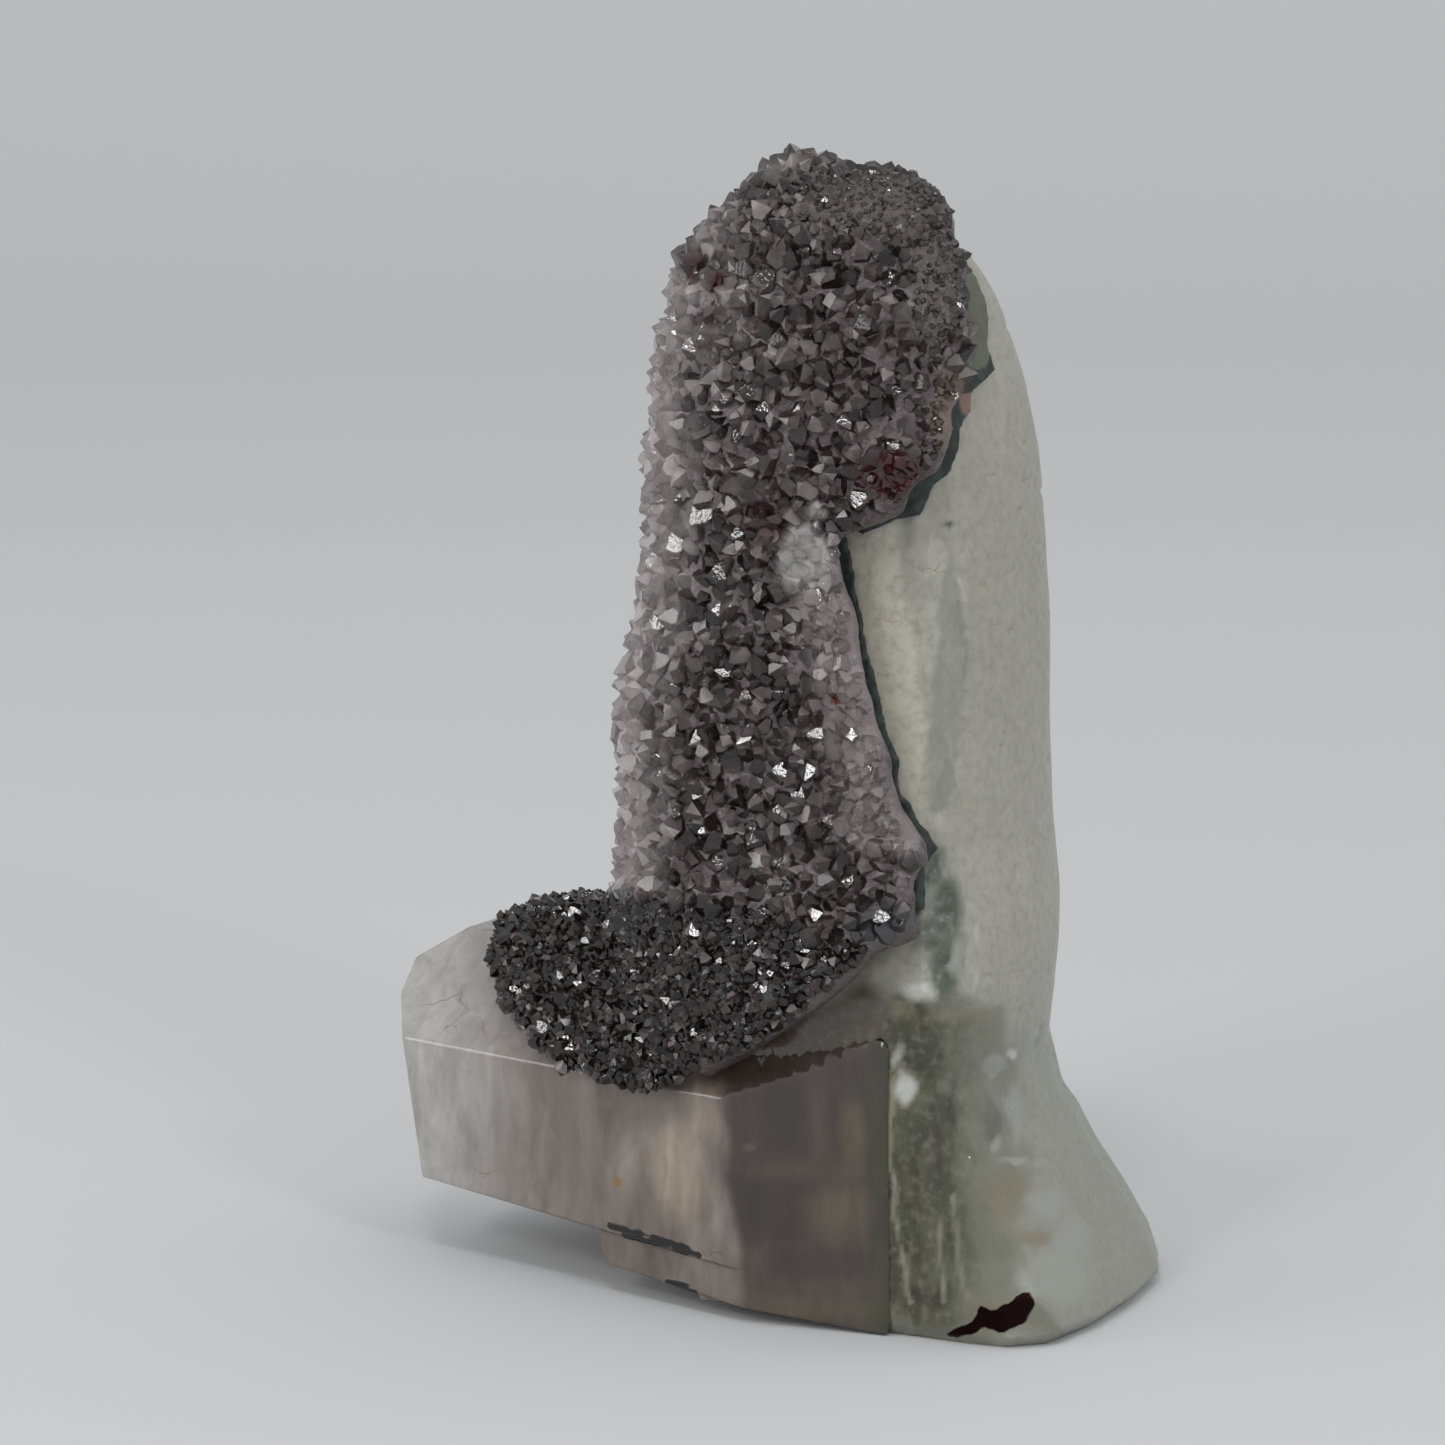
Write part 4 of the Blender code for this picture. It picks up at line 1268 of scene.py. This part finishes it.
def prism_material():
    """Clear calcite with cleaved faces: glassy, grey beige, veiled inside, dark where it meets the blade."""
    made, tree, output = new_material("clear_calcite_cleaved")
    where = add_node(tree, "ShaderNodeTexCoord").outputs["Object"]
    tilted = add_node(
        tree,
        "ShaderNodeMapping",
        {"Rotation": (0.0, math.radians(24), math.radians(37)), "Scale": (1.0, 1.0, 0.3)},
        {"Vector": where},
    )
    veils = add_node(
        tree,
        "ShaderNodeTexNoise",
        {"Scale": 1 / 0.006, "Detail": 6.0, "Distortion": 1.2},
        {"Vector": tilted.outputs["Vector"]},
    )
    body = add_node(tree, "ShaderNodeValToRGB", None, {"Fac": veils.outputs["Fac"]})
    ramp_colours(body, ((0.34, "#756961"), (0.46, "#83776e"), (0.58, "#94897f"), (0.72, "#b0a69d")))
    colour = zone_mix(
        tree,
        body.outputs["Color"],
        frayed_edge(tree, where, 1.2, 0.12),
        (
            ("pale", "#d6d2cd", 1.0),
            ("tan", "#b8a795", 1.0),
            ("dark_end", "#564a42", 0.7),
            ("rhombs", "#483e38", 0.9),
            ("darkest", "#3e3531", 1.0),
            ("light", "#655a4a", 1.0),
            ("side", "#434231", 1.0),
            ("yellow", "#a07a48", 0.6),
            ("needles", "#140f0f", 0.3),
        ),
    )
    colour = hairlines(tree, where, colour, "hairs", 3.0, 0.03, "#6b4a34")
    threads = add_node(
        tree,
        "ShaderNodeTexNoise",
        {"Scale": 1 / 0.0016, "Detail": 5.0, "Distortion": 0.8},
        {"Vector": tilted.outputs["Vector"]},
    )
    shade = add_node(
        tree,
        "ShaderNodeMapRange",
        {"From Min": 0.3, "From Max": 0.7, "To Min": 0.8, "To Max": 1.16},
        {"Value": threads.outputs["Fac"]},
    )
    colour = add_node(
        tree, "ShaderNodeVectorMath", {"operation": "SCALE"}, {0: colour, "Scale": shade.outputs["Result"]}
    ).outputs["Vector"]
    fine = add_node(tree, "ShaderNodeTexNoise", {"Scale": 1 / 0.0015, "Detail": 3.0}, {"Vector": where})
    polish = add_node(
        tree,
        "ShaderNodeMapRange",
        {"From Min": 0.3, "From Max": 0.7, "To Min": 0.05, "To Max": 0.2},
        {"Value": fine.outputs["Fac"]},
    )
    dark = add_node(tree, "ShaderNodeAttribute", {"attribute_name": "dark_end"})
    pale = add_node(tree, "ShaderNodeAttribute", {"attribute_name": "pale"})
    clearer = add_node(
        tree,
        "ShaderNodeMath",
        {"operation": "MULTIPLY_ADD", 1: 0.1, 2: 0.38},
        {0: pale.outputs["Fac"]},
    )
    depth = add_node(
        tree,
        "ShaderNodeMath",
        {"operation": "MULTIPLY_ADD", 1: -0.12, "use_clamp": True},
        {0: dark.outputs["Fac"], 2: clearer.outputs["Value"]},
    )
    bump = add_node(
        tree, "ShaderNodeBump", {"Strength": 0.1, "Distance": 0.0001}, {"Height": fine.outputs["Fac"]}
    )
    shader = add_node(
        tree,
        "ShaderNodeBsdfPrincipled",
        {"IOR": 1.6},
        {
            "Base Color": colour,
            "Roughness": polish.outputs["Result"],
            "Transmission Weight": depth.outputs["Value"],
            "Normal": bump.outputs["Normal"],
        },
    )
    tree.links.new(shader.outputs["BSDF"], output.inputs["Surface"])
    return made


# The pale green scab in the rind near the top, and the rusty hook under it
PALE_SCAB = (
    (14.7, 81.6),
    (16.6, 80.0),
    (17.4, 77.0),
    (17.0, 74.0),
    (15.4, 72.2),
    (14.6, 72.6),
    (14.9, 76.0),
    (14.5, 79.0),
)
RUSTY_HOOK = ((14.8, 69.6, 0.8, 1.0, 1.0),)


def rind_surface(name):
    """The green rind: CAD shape with a crumbled face and a ragged edge, and its zones."""
    obj = evenly_meshed("celadonite_rind", name, 0.3)
    mesh = obj.data
    co = places(mesh)
    out = normals(mesh)
    crumbs = grain(co, 1.3, 4.0) * 0.16 + grain(co, 0.6, 7.0, 2) * 0.06 - 0.1
    set_places(mesh, co + out * (crumbs * MM)[:, None])
    moved = wandering(co, 1.6, 0.5)
    set_values(mesh, "scab", within(moved, PALE_SCAB, 0.35) * np.clip(0.5 - co[:, 1] / MM, 0, 1))
    set_values(mesh, "rusty", patches(moved, RUSTY_HOOK))
    mesh.shade_smooth()
    return obj


def rind_material():
    """Celadonite, an earthy green clay grown as a thin crust: dull, almost black green, with a pale scab."""
    made, tree, output = new_material("celadonite_grown_earthy")
    where = add_node(tree, "ShaderNodeTexCoord")
    crumbs = add_node(
        tree, "ShaderNodeTexNoise", {"Scale": 1 / 0.0008, "Detail": 4.0}, {"Vector": where.outputs["Object"]}
    )
    ramp = add_node(tree, "ShaderNodeValToRGB", None, {"Fac": crumbs.outputs["Fac"]})
    ramp_colours(ramp, ((0.35, "#0e1614"), (0.55, "#1a2a25"), (0.75, "#33483f")))
    frayed = frayed_edge(tree, where.outputs["Object"], 0.5, 0.25)
    colour = zone_mix(
        tree, ramp.outputs["Color"], frayed, (("scab", "#585d4e", 0.5), ("rusty", "#7c6258", 0.5))
    )
    bump = add_node(
        tree, "ShaderNodeBump", {"Strength": 0.5, "Distance": 0.00015}, {"Height": crumbs.outputs["Fac"]}
    )
    shader = add_node(
        tree,
        "ShaderNodeBsdfPrincipled",
        {"Roughness": 0.62, "IOR": 1.6},
        {"Base Color": colour, "Normal": bump.outputs["Normal"]},
    )
    tree.links.new(shader.outputs["BSDF"], output.inputs["Surface"])
    return made


class DruseSettings(bpy.types.PropertyGroup):
    """Sizes of the quartz points, in millimetres."""

    seed: bpy.props.IntProperty(name="Seed", description="Another seed grows another druse", default=23)
    tries: bpy.props.FloatProperty(
        name="Fill", description="How hard the points are packed, in tries for each square millimetre", default=11.0
    )
    point_small: bpy.props.FloatProperty(
        name="Smallest point", description="Radius of the column's smallest points, in mm", default=0.7
    )
    point_large: bpy.props.FloatProperty(
        name="Largest point", description="Radius of the column's largest points, in mm", default=1.4
    )
    apron_small: bpy.props.FloatProperty(
        name="Smallest apron point", description="Radius of the apron's smallest points, in mm", default=0.4
    )
    apron_large: bpy.props.FloatProperty(
        name="Largest apron point", description="Radius of the apron's largest points, in mm", default=0.95
    )
    crowding: bpy.props.FloatProperty(
        name="Crowding", description="Least distance of two points, as a share of their radii", default=0.5
    )
    tilt: bpy.props.FloatProperty(name="Tilt", description="How far the points lean", default=0.36)
    glints: bpy.props.FloatProperty(
        name="Glints", description="Share of points that are tried for a face that mirrors a lamp", default=0.032
    )


class StageSettings(bpy.types.PropertyGroup):
    """Floor, light and camera."""

    floor: bpy.props.FloatVectorProperty(
        name="Floor", description="Colour of the pale floor", subtype="COLOR", size=4, default=linear("#cacbcc")
    )
    sky: bpy.props.FloatProperty(name="Sky", description="Strength of the even light all round", default=0.74)
    overhead: bpy.props.FloatProperty(
        name="Overhead light", description="Power of the large lamp above", default=0.75, unit="POWER"
    )
    window: bpy.props.FloatProperty(
        name="Side light", description="Power of each of the small lamps", default=0.55, unit="POWER"
    )


class SPECIMEN_OT_druse(bpy.types.Operator):
    """Grow the druse: its crust and its quartz points"""

    bl_idname = "specimen.druse"
    bl_label = "Druse"

    def execute(self, context):
        settings = context.scene.druse_settings
        crust, walls = crust_surface("druse_crust")
        column, apron = seed_points(crust, walls, settings)
        shapes = point_shapes(random.Random(settings.seed), SHAPE_COUNT)
        tree = points_tree()
        druse_zones(crust.data, walls)
        finish_piece(crust, crust_material(), "amethyst_smoky", "amethyst_druse")
        crust.data.shade_smooth()
        for name, seeds, finish in (
            ("quartz_points", column, points_material("amethyst_quartz_grown_faces", AMETHYST, COLUMN_ZONES, 0.92)),
            ("apron_points", apron, points_material("smoky_quartz_grown_faces", SMOKY, (), 0.75)),
        ):
            points = grown_points(name, seeds, shapes, tree, finish, settings)
            druse_zones(points.data, walls)
            crystal_tones(points.data, seeds, settings.seed)
            finish_piece(points, finish, "amethyst_smoky", "amethyst_druse")
            points.data.shade_flat()
        return {"FINISHED"}


class SPECIMEN_OT_calcite(bpy.types.Operator):
    """Shape and finish the calcite blade and prism"""

    bl_idname = "specimen.calcite"
    bl_label = "Calcite"

    def execute(self, context):
        blade = blade_surface("calcite_blade_faces")
        finish_piece(blade, blade_material(), "calcite_pale_green", "calcite_blade")
        prism = prism_surface("calcite_prism_faces")
        finish_piece(prism, prism_material(), "calcite_clear_grey", "calcite_prism")
        return {"FINISHED"}


class SPECIMEN_OT_rind(bpy.types.Operator):
    """Crumble and stain the green rind"""

    bl_idname = "specimen.rind"
    bl_label = "Rind"

    def execute(self, context):
        rind = rind_surface("celadonite_rind_crumbs")
        finish_piece(rind, rind_material(), "celadonite_dark_green", "celadonite_rind")
        return {"FINISHED"}


class SPECIMEN_OT_stage(bpy.types.Operator):
    """Set the pale sweep, the lights and the camera"""

    bl_idname = "specimen.stage"
    bl_label = "Stage"

    def execute(self, context):
        settings = context.scene.stage_settings
        scene = context.scene
        made, tree, output = new_material("matt_paper_sweep")
        shader = add_node(
            tree, "ShaderNodeBsdfPrincipled", {"Roughness": 0.9, "Base Color": tuple(settings.floor)}
        )
        tree.links.new(shader.outputs["BSDF"], output.inputs["Surface"])
        bm = bmesh.new()
        profile = [Vector((0, -1.2, 0)), Vector((0, 0.5, 0))]
        for step in range(1, 13):
            angle = math.radians(step * 7.5)
            profile.append(Vector((0, 0.5 + math.sin(angle) * 0.3, 0.3 - math.cos(angle) * 0.3)))
        profile.append(Vector((0, 0.8, 1.6)))
        rows = [[bm.verts.new(p + Vector((x, 0, 0))) for p in profile] for x in (-1.2, 1.2)]
        for i in range(len(profile) - 1):
            bm.faces.new((rows[0][i], rows[1][i], rows[1][i + 1], rows[0][i + 1]))
        mesh = bpy.data.meshes.new("sweep")
        bm.to_mesh(mesh)
        bm.free()
        mesh.shade_smooth()
        mesh.materials.append(made)
        sweep = bpy.data.objects.new("sweep", mesh)
        scene.collection.objects.link(sweep)

        world = bpy.data.worlds.new("studio")
        world.use_nodes = True
        world.node_tree.nodes["Background"].inputs["Color"].default_value = (0.97, 0.985, 1.0, 1.0)
        world.node_tree.nodes["Background"].inputs["Strength"].default_value = settings.sky
        scene.world = world
        for name, place, width in LAMPS:
            lamp = bpy.data.lights.new(name, "AREA")
            lamp.energy = settings.overhead if name == "overhead" else settings.window
            lamp.size = width
            obj = bpy.data.objects.new(name, lamp)
            obj.location = place
            obj.rotation_euler = (Vector((0, 0, 0.045)) - place).to_track_quat("-Z", "Y").to_euler()
            scene.collection.objects.link(obj)

        camera = bpy.data.cameras.new("camera")
        camera.sensor_width = 36.0
        camera.lens = 171.3
        camera.clip_start = 0.01
        eye = bpy.data.objects.new("camera", camera)
        aim = SIGHT_FROM + Vector((-4.58, 0.09, 45.85)) * MM
        eye.location = aim + SIGHT_BACK * 0.55
        eye.rotation_euler = (-SIGHT_BACK).to_track_quat("-Z", "Y").to_euler()
        scene.collection.objects.link(eye)
        scene.camera = eye
        scene.view_settings.view_transform = "Standard"
        return {"FINISHED"}


class SPECIMEN_PT_panel(bpy.types.Panel):
    """Lists the pieces and their sizes"""

    bl_idname = "SPECIMEN_PT_panel"
    bl_label = "Specimen"
    bl_space_type = "VIEW_3D"
    bl_region_type = "UI"
    bl_category = "Specimen"

    def draw(self, context):
        layout = self.layout
        for settings, operators in (
            (context.scene.druse_settings, (SPECIMEN_OT_druse, SPECIMEN_OT_rind, SPECIMEN_OT_calcite)),
            (context.scene.stage_settings, (SPECIMEN_OT_stage,)),
        ):
            box = layout.box()
            for name in settings.__annotations__:
                box.prop(settings, name)
            for operator in operators:
                box.operator(operator.bl_idname)


CLASSES = (
    DruseSettings,
    StageSettings,
    SPECIMEN_OT_druse,
    SPECIMEN_OT_calcite,
    SPECIMEN_OT_rind,
    SPECIMEN_OT_stage,
    SPECIMEN_PT_panel,
)


def register():
    for cls in CLASSES:
        bpy.utils.register_class(cls)
    bpy.types.Scene.druse_settings = bpy.props.PointerProperty(type=DruseSettings)
    bpy.types.Scene.stage_settings = bpy.props.PointerProperty(type=StageSettings)


def unregister():
    del bpy.types.Scene.stage_settings
    del bpy.types.Scene.druse_settings
    for cls in reversed(CLASSES):
        bpy.utils.unregister_class(cls)


def main():
    register()
    bpy.ops.specimen.stage()
    bpy.ops.specimen.druse()
    bpy.ops.specimen.calcite()
    bpy.ops.specimen.rind()


if __name__ == "__main__":
    main()
